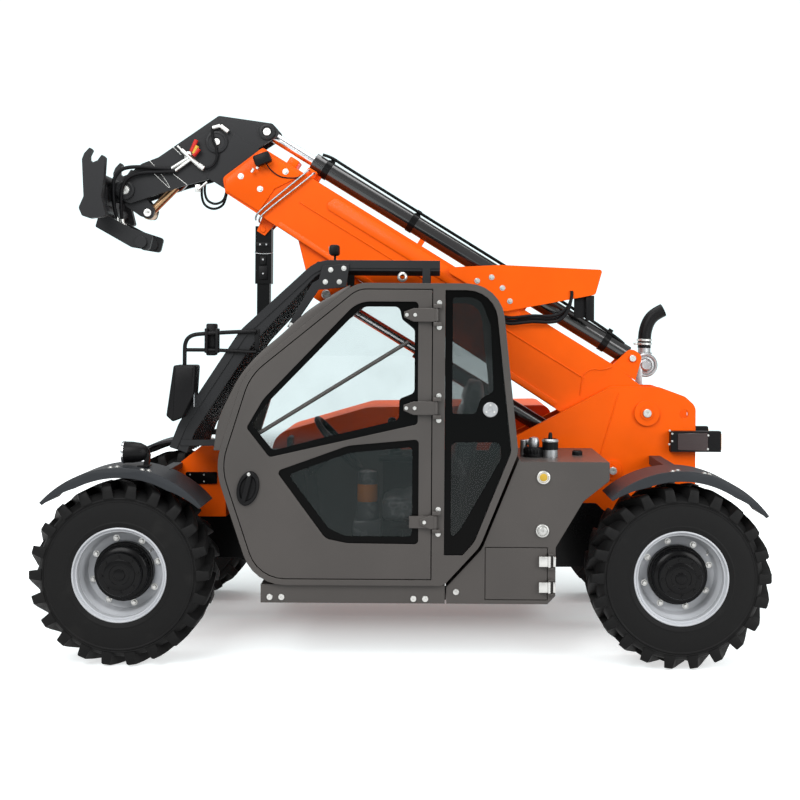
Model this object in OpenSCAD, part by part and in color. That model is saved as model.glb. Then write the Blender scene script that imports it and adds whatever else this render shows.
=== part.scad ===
// Compact telehandler with a cab on its left side and one telescoping boom.
// X runs from the front (-X) to the rear, Y from the cab side (-Y) to the
// engine side, and Z up from the ground. The origin is on the ground, midway
// between the axles and between the wheels.

/* [Wheels and axles] */
// Distance between the axles
wheelbase = 2820; // [2700:10:3000]
// Distance between the middles of the left and right tyres
track = 1600; // [1580:5:1680]
// Tyre diameter over the lug tips
tyre_d = 920; // [900:5:935]
// Tyre section width
tyre_w = 350; // [320:5:360]
// Diameter over the rim flanges
rim_d = 480; // [460:5:500]
// Depth of the tread lugs
lug_h = 34; // [20:1:40]
// Number of lugs on each side of a tyre
lug_count = 22; // [16:1:26]
// Steering angle each way, used to set the clearance of the wheels
steer_deg = 28; // [20:1:30]

/* [Chassis] */
// Distance of the boom's middle plane from the machine's middle plane
boom_y = 40; // [30:5:50]
// Thickness of the chassis side plates
plate_t = 30; // [20:1:32]
// Height of the frame's lower edge above the ground
frame_z = 400; // [380:5:420]
// Height of the frame rails
frame_h = 330; // [300:5:340]
// Height of the boom pivot
pivot_z = 1232; // [1215:1:1250]
// Distance of the boom pivot ahead of the rear axle
pivot_dx = 45; // [30:1:60]

/* [Boom] */
// Boom angle above level, as it stands
boom_deg = 31.4; // [30:0.1:33]
// Width of the outer boom
boom_w = 220; // [210:2:230]
// Height of the boom's top above the pivot line
boom_top = 135; // [130:1:145]
// Depth of the boom's lower edge below the pivot line, at the rear
boom_low = 255; // [248:1:258]
// Depth of the lower edge at the front end
boom_low_front = 195; // [185:1:205]
// Length of the outer boom ahead of the pivot
boom_len = 2690; // [2640:5:2720]
// Wall of the outer boom
boom_wall = 12; // [8:1:14]
// Running gap between the two boom sections
boom_gap = 6; // [5:1:8]
// Radius of the extension cylinder's barrel
ext_r = 54; // [48:1:56]
// Radius of the lift cylinder's barrel
lift_r = 46; // [42:1:48]

/* [Cab] */
// Outer face of the cab, from the machine's middle plane
cab_left = 905; // [890:5:915]
// Inner side of the cab, from the machine's middle plane
cab_right = 120; // [116:1:140]
// Thickness of the cab's walls and door
cab_t = 40; // [34:1:46]
// Height of the cab's roof
cab_top = 1936; // [1915:1:1950]
// Thickness of the window glass
glass_t = 6; // [4:1:8]

/* [Carriage] */
// Half width of the tool carriage
carriage_half = 375; // [350:5:375]
// Thickness of the carriage's hook plates
hook_t = 50; // [40:2:60]

/* [Hidden] */
$fn = 48;
gap = 0.3;
clear = 8;
wheel_r = tyre_d / 2;
front_x = -wheelbase / 2;
rear_x = wheelbase / 2;
pivot = [rear_x - pivot_dx, pivot_z];
boom_half = boom_w / 2;
frame_top = frame_z + frame_h;
plate_in = boom_half + clear;
rail_l = boom_y - plate_in;
rail_r = boom_y + plate_in;

// Points of a polygon given as [x, y, corner radius], with the corners rounded
function unit(v) = v / norm(v);
function corner(a, b, c, r, n = 6) =
  let (u = unit([a.x - b.x, a.y - b.y]), w = unit([c.x - b.x, c.y - b.y]),
       half = acos(max(-1, min(1, u * w))) / 2,
       centre = [b.x, b.y] + unit(u + w) * r / sin(half),
       p = [b.x, b.y] + u * r / tan(half), q = [b.x, b.y] + w * r / tan(half),
       a0 = atan2(p.y - centre.y, p.x - centre.x),
       turn = atan2(q.y - centre.y, q.x - centre.x) - a0,
       sweep = turn > 180 ? turn - 360 : turn < -180 ? turn + 360 : turn)
  [for (i = [0:n]) centre + r * [cos(a0 + sweep * i / n), sin(a0 + sweep * i / n)]];
function rounded(p, n = 6) =
  [for (i = [0:len(p) - 1])
    let (a = p[(i + len(p) - 1) % len(p)], b = p[i], c = p[(i + 1) % len(p)])
    each (b.z == 0 ? [[b.x, b.y]] : corner(a, b, c, b.z, n))];
// The same kind of outline moved inwards by d; its points run anticlockwise
function inset(p, d) =
  [for (i = [0:len(p) - 1])
    let (a = p[(i + len(p) - 1) % len(p)], b = p[i], c = p[(i + 1) % len(p)],
         u = unit([b.x - a.x, b.y - a.y]), w = unit([c.x - b.x, c.y - b.y]),
         nu = [-u.y, u.x], nw = [-w.y, w.x],
         m = (nu + nw) / (1 + nu * nw))
    [b.x + m.x * d, b.y + m.y * d, max(0, b.z - d)]];

// An outline in X and Z made into a plate from y0 to y1
module plate(points, y0, y1) {
  translate([0, y1, 0]) rotate([90, 0, 0]) linear_extrude(y1 - y0)
    polygon([for (p = points) [p.x, p.y]]);
}
// A box between two corners
module box(a, b) { translate(a) cube(b - a); }
// A round bar across the machine, at x and z, from y0 to y1
module bar(at, r, y0, y1) {
  translate([at.x, y1, at.y]) rotate([90, 0, 0]) cylinder(r = r, h = y1 - y0);
}
// A round rod between two points
module rod(a, b, r) {
  d = b - a;
  translate(a) rotate([0, acos(d.z / norm(d)), atan2(d.y, d.x)]) cylinder(r = r, h = norm(d));
}
// What follows is drawn along the boom: X along it, Z square to it, Y across
module on_boom() {
  translate([pivot.x, boom_y, pivot.y]) rotate([0, boom_deg, 0]) mirror([1, 0, 0]) children();
}

// Wheels, hubs, knuckles and axles
axle_z = wheel_r;
rim_r = rim_d / 2;
rim_seat = rim_r - 24;
rim_half = tyre_w / 2 - 14;
king_y = track / 2 - 40;
spindle_r = 45;
king_r = 26;
fit = 0.05;
hub_r = 108;
hub_len = 128;
disc_y = 34;
post_r = 48;
disc_t = 16;
yoke_z = 112;
yoke_t = 34;
axle_r = 68;
diff_r = 130;
pad_z = axle_z + axle_r + 22;
carcass_r = wheel_r - lug_h;

// A shape turned about the wheel's own axis, from radius and offset outwards
module turned(points) {
  rotate([-90, 0, 0]) rotate_extrude($fn = 64) polygon(points);
}
// Places a left-hand wheel piece, drawn about the origin with +Y outwards
module at_wheel(x, side) {
  translate([x, side * track / 2, axle_z])
    if (side > 0) children(); else mirror([0, 1, 0]) children();
}
module tyre(x, side) {
  h = tyre_w / 2;
  color("#232323") at_wheel(x, side) turned([
    [rim_seat + gap, -rim_half + 12 + gap], [rim_r + gap, -rim_half + 12 + gap], [rim_r + gap, -rim_half],
    [rim_r + 14, -rim_half - 6], [rim_r + 90, -h],
    [carcass_r - 40, -h + 6], [wheel_r - 8, -h + 26], [wheel_r, -h + 50],
    [wheel_r, h - 50], [wheel_r - 8, h - 26], [carcass_r - 40, h - 6],
    [rim_r + 90, h], [rim_r + 14, rim_half + 6], [rim_r + gap, rim_half], [rim_r + gap, rim_half - 12 - gap],
    [rim_seat + gap, rim_half - 12 - gap]]);
}
module rim(x, side) {
  color("silver") at_wheel(x, side) turned([
    [rim_seat - 14, -rim_half], [rim_r, -rim_half], [rim_r, -rim_half + 12],
    [rim_seat, -rim_half + 12], [rim_seat, rim_half - 12], [rim_r, rim_half - 12],
    [rim_r, rim_half], [rim_seat - 14, rim_half], [rim_seat - 14, disc_y + disc_t],
    [hub_r + 6, disc_y + disc_t], [hub_r + 6, disc_y], [rim_seat - 14, disc_y]]);
}
module hub(x, side) {
  color("#161616") at_wheel(x, side) translate([0, disc_y, 0]) difference() {
    turned([[0, -18], [hub_r + 40, -18], [hub_r + 40, -gap], [hub_r, -gap], [hub_r, hub_len - 34],
      [hub_r - 12, hub_len - 34], [hub_r - 12, hub_len - 10], [hub_r - 40, hub_len], [0, hub_len]]);
    rotate([-90, 0, 0]) translate([0, 0, -19]) cylinder(r = spindle_r + fit, h = hub_len - 30);
  }
}
module knuckle(x, side) {
  inner = king_y - track / 2;
  color("#1b1b1b") at_wheel(x, side) {
    translate([0, inner, -yoke_z + gap]) cylinder(r = post_r, h = 2 * (yoke_z - gap));
    translate([0, inner, -yoke_z - yoke_t]) cylinder(r = king_r, h = 2 * (yoke_z + yoke_t));
    rotate([-90, 0, 0]) translate([0, 0, inner]) cylinder(r = spindle_r, h = disc_y + 60 - inner);
  }
}
module axle(x) {
  color("#1b1b1b") difference() {
    union() {
      bar([x, axle_z], axle_r, -king_y + 60, king_y - 60);
      bar([x, axle_z], diff_r, boom_y - 90, boom_y + 90);
      for (side = [-1, 1]) {
        for (up = [-1, 1]) {
          z = axle_z + (up > 0 ? yoke_z : -yoke_z - yoke_t);
          translate([x, side * king_y, z]) cylinder(r = post_r, h = yoke_t);
          box([x - post_r, min(side * king_y, side * (king_y - 110)), z],
              [x + post_r, max(side * king_y, side * (king_y - 110)), z + yoke_t]);
        }
        box([x - 50, side * (king_y - 85) - 25, axle_z - yoke_z - yoke_t],
            [x + 50, side * (king_y - 85) + 25, axle_z + yoke_z + yoke_t]);
        pad_y = side > 0 ? rail_r + plate_t / 2 : rail_l - plate_t / 2;
        box([x - 75, pad_y - 45, axle_z], [x + 75, pad_y + 45, pad_z]);
      }
    }
    for (side = [-1, 1]) translate([x, side * king_y, 0]) cylinder(r = king_r + fit, h = 2 * axle_z);
  }
}

// Chassis: two side plates with the boom tower at the rear
lift_low = pivot - [194, 323];
pivot_r = 38;
lift_pin_r = 30;
boss_t = 14;
tie_r = 24;
tower_x = rear_x + 232;
rail_front = front_x - 80;
nose_half = 365;
nose_outline = [[front_x + 140, frame_top + 20], [front_x + 240, frame_top - 60], [front_x + 440, frame_top - 60],
                [front_x + 430, 1045], [front_x + 315, 1065], [front_x + 140, 925]];
rail_outline = rounded([
  [rail_front, pad_z, 0], [front_x + 190, pad_z, 40], [front_x + 330, frame_z, 40],
  [rear_x - 330, frame_z, 40], [rear_x - 190, pad_z, 40], [tower_x, pad_z, 20],
  [tower_x, pivot_z + 40, 60], [tower_x - 60, pivot_z + 95, 60], [pivot.x + 70, pivot_z + 148, 40],
  [pivot.x - 200, pivot_z + 150, 60], [pivot.x - 790, pivot_z - 160, 40],
  [pivot.x - 830, frame_top, 60], [rail_front, frame_top, 20]]);
module chassis_frame() {
  color("#f05a0a") {
    box([front_x + 400, rail_l, frame_z + 20], [rear_x - 420, rail_r, frame_z + 40]);
    box([rail_front, rail_l, axle_z + diff_r + clear], [rail_front + 40, rail_r, frame_top]);
    box([tower_x - 40, rail_l, pad_z + 20], [tower_x - 12, rail_r, pivot_z - 270]);
  }
}
// One side plate, from y0 to y0 + plate_t, with its bosses on the face at boss_y
module frame_plate(y0, boss_y) {
  color("#f05a0a") difference() {
    union() {
      plate(rail_outline, y0, y0 + plate_t);
      bar(pivot, 72, boss_y, boss_y + boss_t);
      bar(lift_low, 54, boss_y, boss_y + boss_t);
    }
    bar(pivot, pivot_r + fit, y0 - boss_t - 1, y0 + plate_t + boss_t + 1);
    bar(lift_low, lift_pin_r + fit, y0 - boss_t - 1, y0 + plate_t + boss_t + 1);
    bar([tower_x - 66, pivot_z - 3], tie_r, y0 - 1, y0 + plate_t + 1);
  }
}
module frame_left() { frame_plate(rail_l - plate_t, rail_l - plate_t - boss_t); }
module frame_right() { frame_plate(rail_r, rail_r + plate_t); }
module frame_pins() {
  color("#9a9a9a") {
    bar(pivot, pivot_r, rail_l - plate_t - boss_t - 4, rail_r + plate_t + boss_t + 4);
    bar(lift_low, lift_pin_r, rail_l - plate_t - boss_t - 26, rail_r + plate_t + boss_t + 4);
  }
}
module nose_left() { color("#f05a0a") plate(nose_outline, -nose_half, rail_l - plate_t); }
module nose_right() { color("#f05a0a") plate(nose_outline, rail_r + plate_t, nose_half); }

// Engine on the right-hand side, in a bay with a hood that tips back
bay_in = rail_r + plate_t + 20;
bay_out = track / 2 + tyre_w / 2 - 70;
bay_front = front_x + 620;
bay_rear = rear_x - 560;
bay_low = frame_z + 40;
hood_z = 900;
hood_top = 1255;
panel_t = 20;
hood_hinge = [bay_rear + 16, hood_z];
hood_hinge_y = [bay_in + 90, bay_out - 90];
hinge_pin_r = 7;
// lug beside a hinge barrel, kept within the circle that the hood's edge clears
hinge_lug_r = hinge_pin_r + 3;
hinge_lug = [
  [bay_rear, hood_z - 60], [hood_hinge.x + hinge_lug_r, hood_z - 60],
  [hood_hinge.x + hinge_lug_r, hood_z + hinge_lug_r], [hood_hinge.x - hinge_lug_r + 1, hood_z + hinge_lug_r],
  [hood_hinge.x - hinge_lug_r + 1, hood_z - hinge_lug_r], [bay_rear, hood_z - 26]];
module engine_block() {
  color("#555555") box([bay_front + 330, bay_in + 110, bay_low + panel_t],
                       [bay_rear - 330, bay_out - 150, hood_z + 80]);
}
module engine_bay() {
  color("#f05a0a") {
    difference() {
      box([bay_front, bay_in, bay_low], [bay_rear, bay_out, hood_z - gap]);
      box([bay_front + panel_t, bay_in + panel_t, bay_low + panel_t],
          [bay_rear - panel_t, bay_out - panel_t, hood_z]);
    }
    for (x = [bay_front + 150, bay_rear - 250])
      box([x, rail_r + plate_t, bay_low + 60], [x + 100, bay_in, bay_low + 160]);
    for (y = hood_hinge_y) {
      bar(hood_hinge, hinge_pin_r, y - 48, y + 48);
      for (side = [-1, 1])
        plate(hinge_lug, y + side * 40 - 8, y + side * 40 + 8);
    }
  }
}
hood_outline = rounded([
  [bay_front, hood_z, 0], [bay_rear, hood_z, 0], [bay_rear, hood_top, 60],
  [bay_front + 560, hood_top - 20, 200], [bay_front, hood_z + 170, 120]]);
module engine_hood() {
  color("#f05a0a") difference() {
    union() {
      difference() {
        plate(hood_outline, bay_in, bay_out);
        plate(inset(hood_outline_raw(), panel_t), bay_in + panel_t, bay_out - panel_t);
        box([bay_front + panel_t, bay_in + panel_t, hood_z - 1],
            [bay_rear - panel_t, bay_out - panel_t, hood_z + panel_t + 1]);
        for (i = [0:6]) box([bay_front + 700 + i * 60, bay_out - panel_t - 1, hood_z + 60],
                            [bay_front + 730 + i * 60, bay_out + 1, hood_top - 110]);
      }
      for (y = hood_hinge_y) {
        bar(hood_hinge, hinge_pin_r + 6, y - 30, y + 30);
        box([bay_rear - 2, y - 30, hood_z + 2], [hood_hinge.x + 6, y + 30, hood_z + 50]);
      }
    }
    for (y = hood_hinge_y) bar(hood_hinge, hinge_pin_r + fit, y - 50, y + 50);
  }
}
function hood_outline_raw() = [
  [bay_front, hood_z, 0], [bay_rear, hood_z, 0], [bay_rear, hood_top, 0],
  [bay_front + 560, hood_top - 20, 0], [bay_front, hood_z + 170, 0]];

// Cab: a ring of floor, front, roof and rear, closed by two side frames
cab_corners = [
  [-745, 405, 220], [216, 405, 60], [400, 605, 200], [592, 1080, 120], [500, cab_top, 190],
  [-235, cab_top, 160], [-795, 1480, 320], [-945, 1000, 320]];
cab_outline = rounded(cab_corners);
cab_inner = rounded(inset(cab_corners, cab_t));
pillar_x = 156;
pillar_w = 62;
door_gap = 5;
hinge_at = [pillar_x + 16, -cab_left - 17];
hinge_z = [1775, 1305, 730];
seal = 34;
module cab_slab(d, y0, y1) { plate(rounded(inset(cab_corners, d)), y0, y1); }
module quarter_opening(d) {
  intersection() {
    cab_slab(seal + d, -cab_left - 1, -cab_left + cab_t + 1);
    box([pillar_x + pillar_w + d, -cab_left - 2, 560 + d], [800, -cab_left + cab_t + 2, cab_top]);
  }
}
module screen_box(d) {
  box([-1200, -cab_left + 55 + d, 1075 + d], [-345 - d, -cab_right - 55 - d, 1835]);
}
module rear_box(d) {
  box([420, -cab_left + 70 + d, 1180 + d], [800, -cab_right - 70 - d, 1740 - d]);
}
module right_opening(d) {
  intersection() {
    cab_slab(90 + d, -cab_right - cab_t - 1, -cab_right + 1);
    box([-1000, -cab_right - cab_t - 2, 1020 + d], [800, -cab_right + 2, cab_top]);
  }
}
module cab_frame() {
  color("#4a4846") {
    difference() {
      plate(cab_outline, -cab_left, -cab_right);
      plate(cab_inner, -cab_left + cab_t, -cab_right - cab_t);
      intersection() {
        cab_slab(seal - door_gap, -cab_left - 1, -cab_left + cab_t + 1);
        box([-1200, -cab_left - 2, 300], [pillar_x, -cab_left + cab_t + 2, cab_top]);
      }
      quarter_opening(0);
      right_opening(0);
      screen_box(0);
      rear_box(0);
    }
    for (z = hinge_z) {
      translate([hinge_at.x, hinge_at.y, z - 50]) cylinder(r = 7, h = 100);
      for (up = [-1, 1])
        box([hinge_at.x - 8, hinge_at.y - 8, z + up * 44 - 8], [hinge_at.x + 26, -cab_left, z + up * 44 + 8]);
    }
  }
}
module windscreen() {
  color([0.6, 0.75, 0.75, 0.4]) intersection() {
    difference() {
      cab_slab(14, -cab_left, -cab_right);
      cab_slab(14 + glass_t, -cab_left - 1, -cab_right + 1);
    }
    screen_box(gap);
  }
}
module rear_glass() {
  color([0.6, 0.75, 0.75, 0.4]) intersection() {
    difference() {
      cab_slab(14, -cab_left, -cab_right);
      cab_slab(14 + glass_t, -cab_left - 1, -cab_right + 1);
    }
    rear_box(gap);
  }
}
module quarter_glass() {
  color([0.2, 0.25, 0.25, 0.5]) intersection() {
    quarter_opening(gap);
    box([-1200, -cab_left + 12, 0], [1200, -cab_left + 12 + glass_t, 3000]);
  }
}
module right_glass() {
  color([0.6, 0.75, 0.75, 0.4]) intersection() {
    right_opening(gap);
    box([-1200, -cab_right - 20, 0], [1200, -cab_right - 20 + glass_t, 3000]);
  }
}

// Door with its two windows
upper_pane = [[-668, 1050, 20], [82, 1222, 20], [82, 1842, 20], [-225, 1842, 150], [-700, 1345, 200], [-785, 1199, 20]];
lower_pane = [[-633, 980, 20], [-380, 640, 60], [-270, 618, 60], [88, 615, 20], [88, 1146, 20], [-270, 1112, 200]];
module door() {
  color("#4a4846") difference() {
    union() {
      intersection() {
        cab_slab(seal, -cab_left, -cab_left + cab_t);
        box([-1200, -cab_left - 1, 300], [pillar_x - door_gap, -cab_left + cab_t + 1, cab_top]);
      }
      for (z = hinge_z) {
        box([hinge_at.x - 130, hinge_at.y - 4, z - 30], [hinge_at.x, hinge_at.y + 10, z + 30]);
        box([hinge_at.x - 130, hinge_at.y + 9, z - 30], [hinge_at.x - 60, -cab_left + 1, z + 30]);
        translate([hinge_at.x, hinge_at.y, z - 30]) cylinder(r = 13, h = 60);
      }
    }
    for (z = hinge_z) translate([hinge_at.x, hinge_at.y, z - 60]) cylinder(r = 7 + fit, h = 120);
    plate(rounded(upper_pane), -cab_left - 1, -cab_left + cab_t + 1);
    plate(rounded(lower_pane), -cab_left - 1, -cab_left + cab_t + 1);
  }
}
module door_glass() {
  color([0.3, 0.38, 0.38, 0.4]) {
    plate(rounded(inset(upper_pane, gap)), -cab_left + 12, -cab_left + 12 + glass_t);
    plate(rounded(inset(lower_pane, gap)), -cab_left + 12, -cab_left + 12 + glass_t);
  }
}

// Boom: an outer box beam, an inner one with the head, and three cylinders
lift_eye = [1900, -385];
ext_v = 225;
ext_rear = 222;
ext_front = 2370;
ext_rod_r = 30;
head_pin = [2674, ext_v];
tilt_top = [2888, 25];
tilt_pin = [3189, -483];
tail_arm = [-172, -44];
inner_half = boom_half - boom_wall - boom_gap;
inner_top = boom_top - boom_wall - boom_gap;
inner_low = boom_low_front - boom_wall - boom_gap;
cavity_rear = 420;
head_in = 70;
head_out = 88;
outer_outline = rounded([
  [-120, -190, 90], [300, -boom_low, 60], [boom_len, -boom_low_front, 0], [boom_len + 58, -130, 30],
  [boom_len - 45, boom_top, 20], [300, boom_top, 60], [-60, 100, 80]]);
ear_outline = rounded([[1620, -225, 0], [1840, -440, 0], [1960, -440, 55], [2200, -205, 0]]);
// Prop that hangs straight down from a pin between two ears under the front end
prop_at = [2405, -boom_low_front - 65];
prop_w = 92;
prop_len = 500;
prop_pin_r = 16;
prop_ear = [[prop_at.x - 44, -boom_low_front + 4], [prop_at.x + 44, -boom_low_front + 4],
            [prop_at.x + 26, prop_at.y - 26], [prop_at.x - 26, prop_at.y - 26]];
module boom_prop() {
  top = boom_point(prop_at);
  inner = prop_w / 2 - 10;
  color("#161616") translate([top.x, boom_y, top.y]) difference() {
    union() {
      box([-prop_w / 2, -prop_w / 2, -prop_len * 0.62], [prop_w / 2, prop_w / 2, 20]);
      box([-inner, -inner, -prop_len], [inner, inner, -prop_len * 0.62]);
    }
    bar([0, 0], prop_pin_r + fit, -prop_w, prop_w);
  }
}
module boom_outer() {
  color("#f05a0a") on_boom() difference() {
    union() {
      difference() {
        plate(outer_outline, -boom_half, boom_half);
        box([cavity_rear, -inner_half - boom_gap, -inner_low - boom_gap],
            [boom_len + 200, inner_half + boom_gap, inner_top + boom_gap]);
      }
      for (side = [-1, 1]) {
        y = side > 0 ? 62 : -86;
        plate(ear_outline, y, y + 24);
        bar(lift_eye, 34, side > 0 ? 86 : -98, side > 0 ? 98 : -86);
        plate(rounded([[ext_rear - 80, boom_top - 8, 0], [ext_rear + 80, boom_top - 8, 0],
                       [ext_rear + 40, ext_v + 45, 38], [ext_rear - 40, ext_v + 45, 38]]),
              side > 0 ? 60 : -80, side > 0 ? 80 : -60);
      }
      bar([ext_rear, ext_v], 22, -86, 86);
      for (side = [-1, 1])
        plate(prop_ear, side > 0 ? prop_w / 2 + gap : -prop_w / 2 - 12, side > 0 ? prop_w / 2 + 12 : -prop_w / 2 - gap);
      bar(prop_at, prop_pin_r, -prop_w / 2 - 18, prop_w / 2 + 18);
      for (u = [900, 1600, 2300])
        box([u - 15, -20, boom_top - 4], [u + 15, 20, ext_v - ext_r - gap]);
    }
    bar([0, 0], pivot_r + fit, -boom_half - 1, boom_half + 1);
  }
}
module extension_barrel() {
  color("#1a1a1c") on_boom() difference() {
    union() {
      rod([ext_rear + 30, 0, ext_v], [ext_front, 0, ext_v], ext_r);
      bar([ext_rear, ext_v], 42, -58, 58);
    }
    rod([ext_rear + 110, 0, ext_v], [ext_front + 1, 0, ext_v], ext_rod_r + 14);
    bar([ext_rear, ext_v], 22 + fit, -60, 60);
  }
}
module extension_rod() {
  color("#c8c8cc") on_boom() difference() {
    union() {
      rod([ext_rear + 150, 0, ext_v], [head_pin.x - 20, 0, ext_v], ext_rod_r);
      rod([ext_rear + 150, 0, ext_v], [ext_rear + 200, 0, ext_v], ext_rod_r + 13);
      bar(head_pin, 40, -50, 50);
    }
    bar(head_pin, 24 + fit, -60, 60);
  }
}
head_outline = rounded([
  [3246, -500, 50], [3228, -420, 40], [3187, -305, 60], [3125, -224, 60], [2957, 159, 20],
  [2674, 282, 30], [2600, 262, 30], [2665, 120, 40], [2793, -83, 40], [2815, -180, 40],
  [2922, -291, 60], [3124, -535, 30], [3215, -545, 50]]);
module boom_inner() {
  color("#353638") on_boom() difference() {
    union() {
      difference() {
        box([cavity_rear + 40, -inner_half, -inner_low], [2830, inner_half, inner_top]);
        box([cavity_rear + 39, -inner_half + 12, -inner_low + 12], [2831, inner_half - 12, inner_top - 12]);
      }
      plate(head_outline, -head_out, -head_in);
      plate(head_outline, head_in, head_out);
      plate([[2730, 244], [2957, 145], [3090, -160], [3076, -166], [2948, 132], [2730, 227]],
            -head_in, head_in);
      bar(head_pin, 24, -head_out - 8, head_out + 8);
      bar(tilt_top, 26, -head_out - 8, head_out + 8);
      bar(tilt_pin, 30, -head_out - 8, head_out + 8);
      for (side = [-1, 1]) {
        bar(tilt_top, 58, side > 0 ? head_out : -head_out - 6, side > 0 ? head_out + 6 : -head_out);
        bar(tilt_pin, 50, side > 0 ? head_out : -head_out - 6, side > 0 ? head_out + 6 : -head_out);
      }
    }
    box([2540, -head_in, ext_v - 48], [2640, head_in, ext_v + 48]);
  }
}

// Lift cylinder between the chassis and the boom, drawn along its own axis
function boom_point(p) = pivot + [p.y * sin(boom_deg) - p.x * cos(boom_deg),
                                  p.x * sin(boom_deg) + p.y * cos(boom_deg)];
lift_top = boom_point(lift_eye);
lift_len = norm(lift_top - lift_low);
lift_deg = atan2(lift_top.y - lift_low.y, lift_low.x - lift_top.x);
lift_barrel_len = 1300;
lift_rod_r = 30;
lift_rod_len = 1010;
module on_lift() {
  translate([lift_low.x, boom_y, lift_low.y]) rotate([0, lift_deg, 0]) mirror([1, 0, 0]) children();
}
module lift_barrel() {
  color("#1a1a1c") on_lift() difference() {
    union() {
      rod([50, 0, 0], [lift_barrel_len, 0, 0], lift_r);
      bar([0, 0], 56, -60, 60);
      rod([lift_barrel_len - 60, 0, 0], [lift_barrel_len, 0, 0], lift_r + 6);
    }
    rod([200, 0, 0], [lift_barrel_len + 1, 0, 0], lift_rod_r + 12);
    bar([0, 0], lift_pin_r + fit, -61, 61);
  }
}
module lift_rod() {
  color("#c8c8cc") on_lift() difference() {
    union() {
      rod([lift_len - lift_rod_len, 0, 0], [lift_len - 30, 0, 0], lift_rod_r);
      rod([lift_len - lift_rod_len, 0, 0], [lift_len - lift_rod_len + 60, 0, 0], lift_rod_r + 11);
      bar([lift_len, 0], 48, -52, 52);
    }
    bar([lift_len, 0], 28, -53, 53);
  }
}

// Tilt cylinder inside the head
tail_pin = tilt_pin + tail_arm;
tilt_len = norm(tail_pin - tilt_top);
tilt_deg = atan2(tail_pin.y - tilt_top.y, tail_pin.x - tilt_top.x);
tilt_r = 40;
tilt_rod_r = 24;
tilt_barrel_len = 350;
tilt_rod_len = 342;
module on_tilt() {
  on_boom() translate([tilt_top.x, 0, tilt_top.y]) rotate([0, -tilt_deg, 0]) children();
}
module tilt_barrel() {
  color("#1a1a1c") on_tilt() difference() {
    union() {
      rod([38, 0, 0], [tilt_barrel_len, 0, 0], tilt_r);
      bar([0, 0], 44, -48, 48);
    }
    rod([50, 0, 0], [tilt_barrel_len + 1, 0, 0], tilt_rod_r + 9);
    bar([0, 0], 26 + fit, -60, 60);
  }
}
module tilt_rod() {
  color("#b08050") on_tilt() difference() {
    union() {
      rod([tilt_len - tilt_rod_len, 0, 0], [tilt_len - 24, 0, 0], tilt_rod_r);
      rod([tilt_len - tilt_rod_len, 0, 0], [tilt_len - tilt_rod_len + 30, 0, 0], tilt_rod_r + 8);
      bar([tilt_len, 0], 36, -38, 38);
    }
    bar([tilt_len, 0], 22, -39, 39);
  }
}

// Tool carriage: two hook plates on cross tubes, hung from the head's lower pin
tilt_at = boom_point(tilt_pin);
tail_at = boom_point(tail_pin) - tilt_at;
ear_in = 44;
ear_out = 64;
hook_outline = rounded([
  [-36, -173, 12], [-63, -63, 10], [-50, 33, 10], [-43, 150, 10], [-60, 168, 8], [-84, 134, 0], [-112, 122, 0],
  [-130, 138, 0], [-130, 160, 0], [-115, 191, 6], [-127, 206, 6], [-158, 172, 12], [-170, 140, 12],
  [-160, -64, 10], [-187, -126, 24], [-168, -170, 16], [-125, -184, 8]], 3);
lock_outline = rounded([[-150, -215, 10], [55, -330, 20], [156, -346, 20], [176, -262, 20], [60, -225, 20], [-125, -130, 10]]);
ear_points = rounded([[-140, -62, 8], [-40, -62, 0], [tail_at.x - 40, tail_at.y - 20, 20], [tail_at.x + 25, tail_at.y - 40, 24],
  [tail_at.x + 42, tail_at.y + 20, 24], [45, 40, 30], [-30, 52, 30], [-140, 20, 8]]);
module on_carriage() { translate([tilt_at.x, boom_y, tilt_at.y]) children(); }
module carriage() {
  color("#353638") on_carriage() difference() {
    union() {
      for (side = [-1, 1]) {
        y = side > 0 ? carriage_half - hook_t : -carriage_half;
        plate(hook_outline, y, y + hook_t);
        e = side > 0 ? ear_in : -ear_out;
        plate(ear_points, e, e + ear_out - ear_in);
        bar(tail_at, 26, side > 0 ? ear_out - 1 : -ear_out - 4, side > 0 ? ear_out + 4 : -ear_out + 1);
        plate([[-150, -100], [-95, -100], [-95, 70], [-150, 70]], side > 0 ? 96 : -120, side > 0 ? 120 : -96);
      }
      for (side = [-1, 1]) plate(lock_outline, side > 0 ? 136 : -160, side > 0 ? 160 : -136);
      for (side = [-1, 1]) bar([110, -300], 34, side > 0 ? 120 : -176, side > 0 ? 176 : -120);
      bar([-20, -250], 22, -136, 136);
      bar([-110, 50], 30, -carriage_half, carriage_half);
      bar([-110, -120], 34, -carriage_half, carriage_half);
      plate([[-122, -120], [-98, -120], [-98, 50], [-122, 50]], -carriage_half, carriage_half);
    }
    bar([0, 0], 30 + fit, -80, 80);
  }
}

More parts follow.
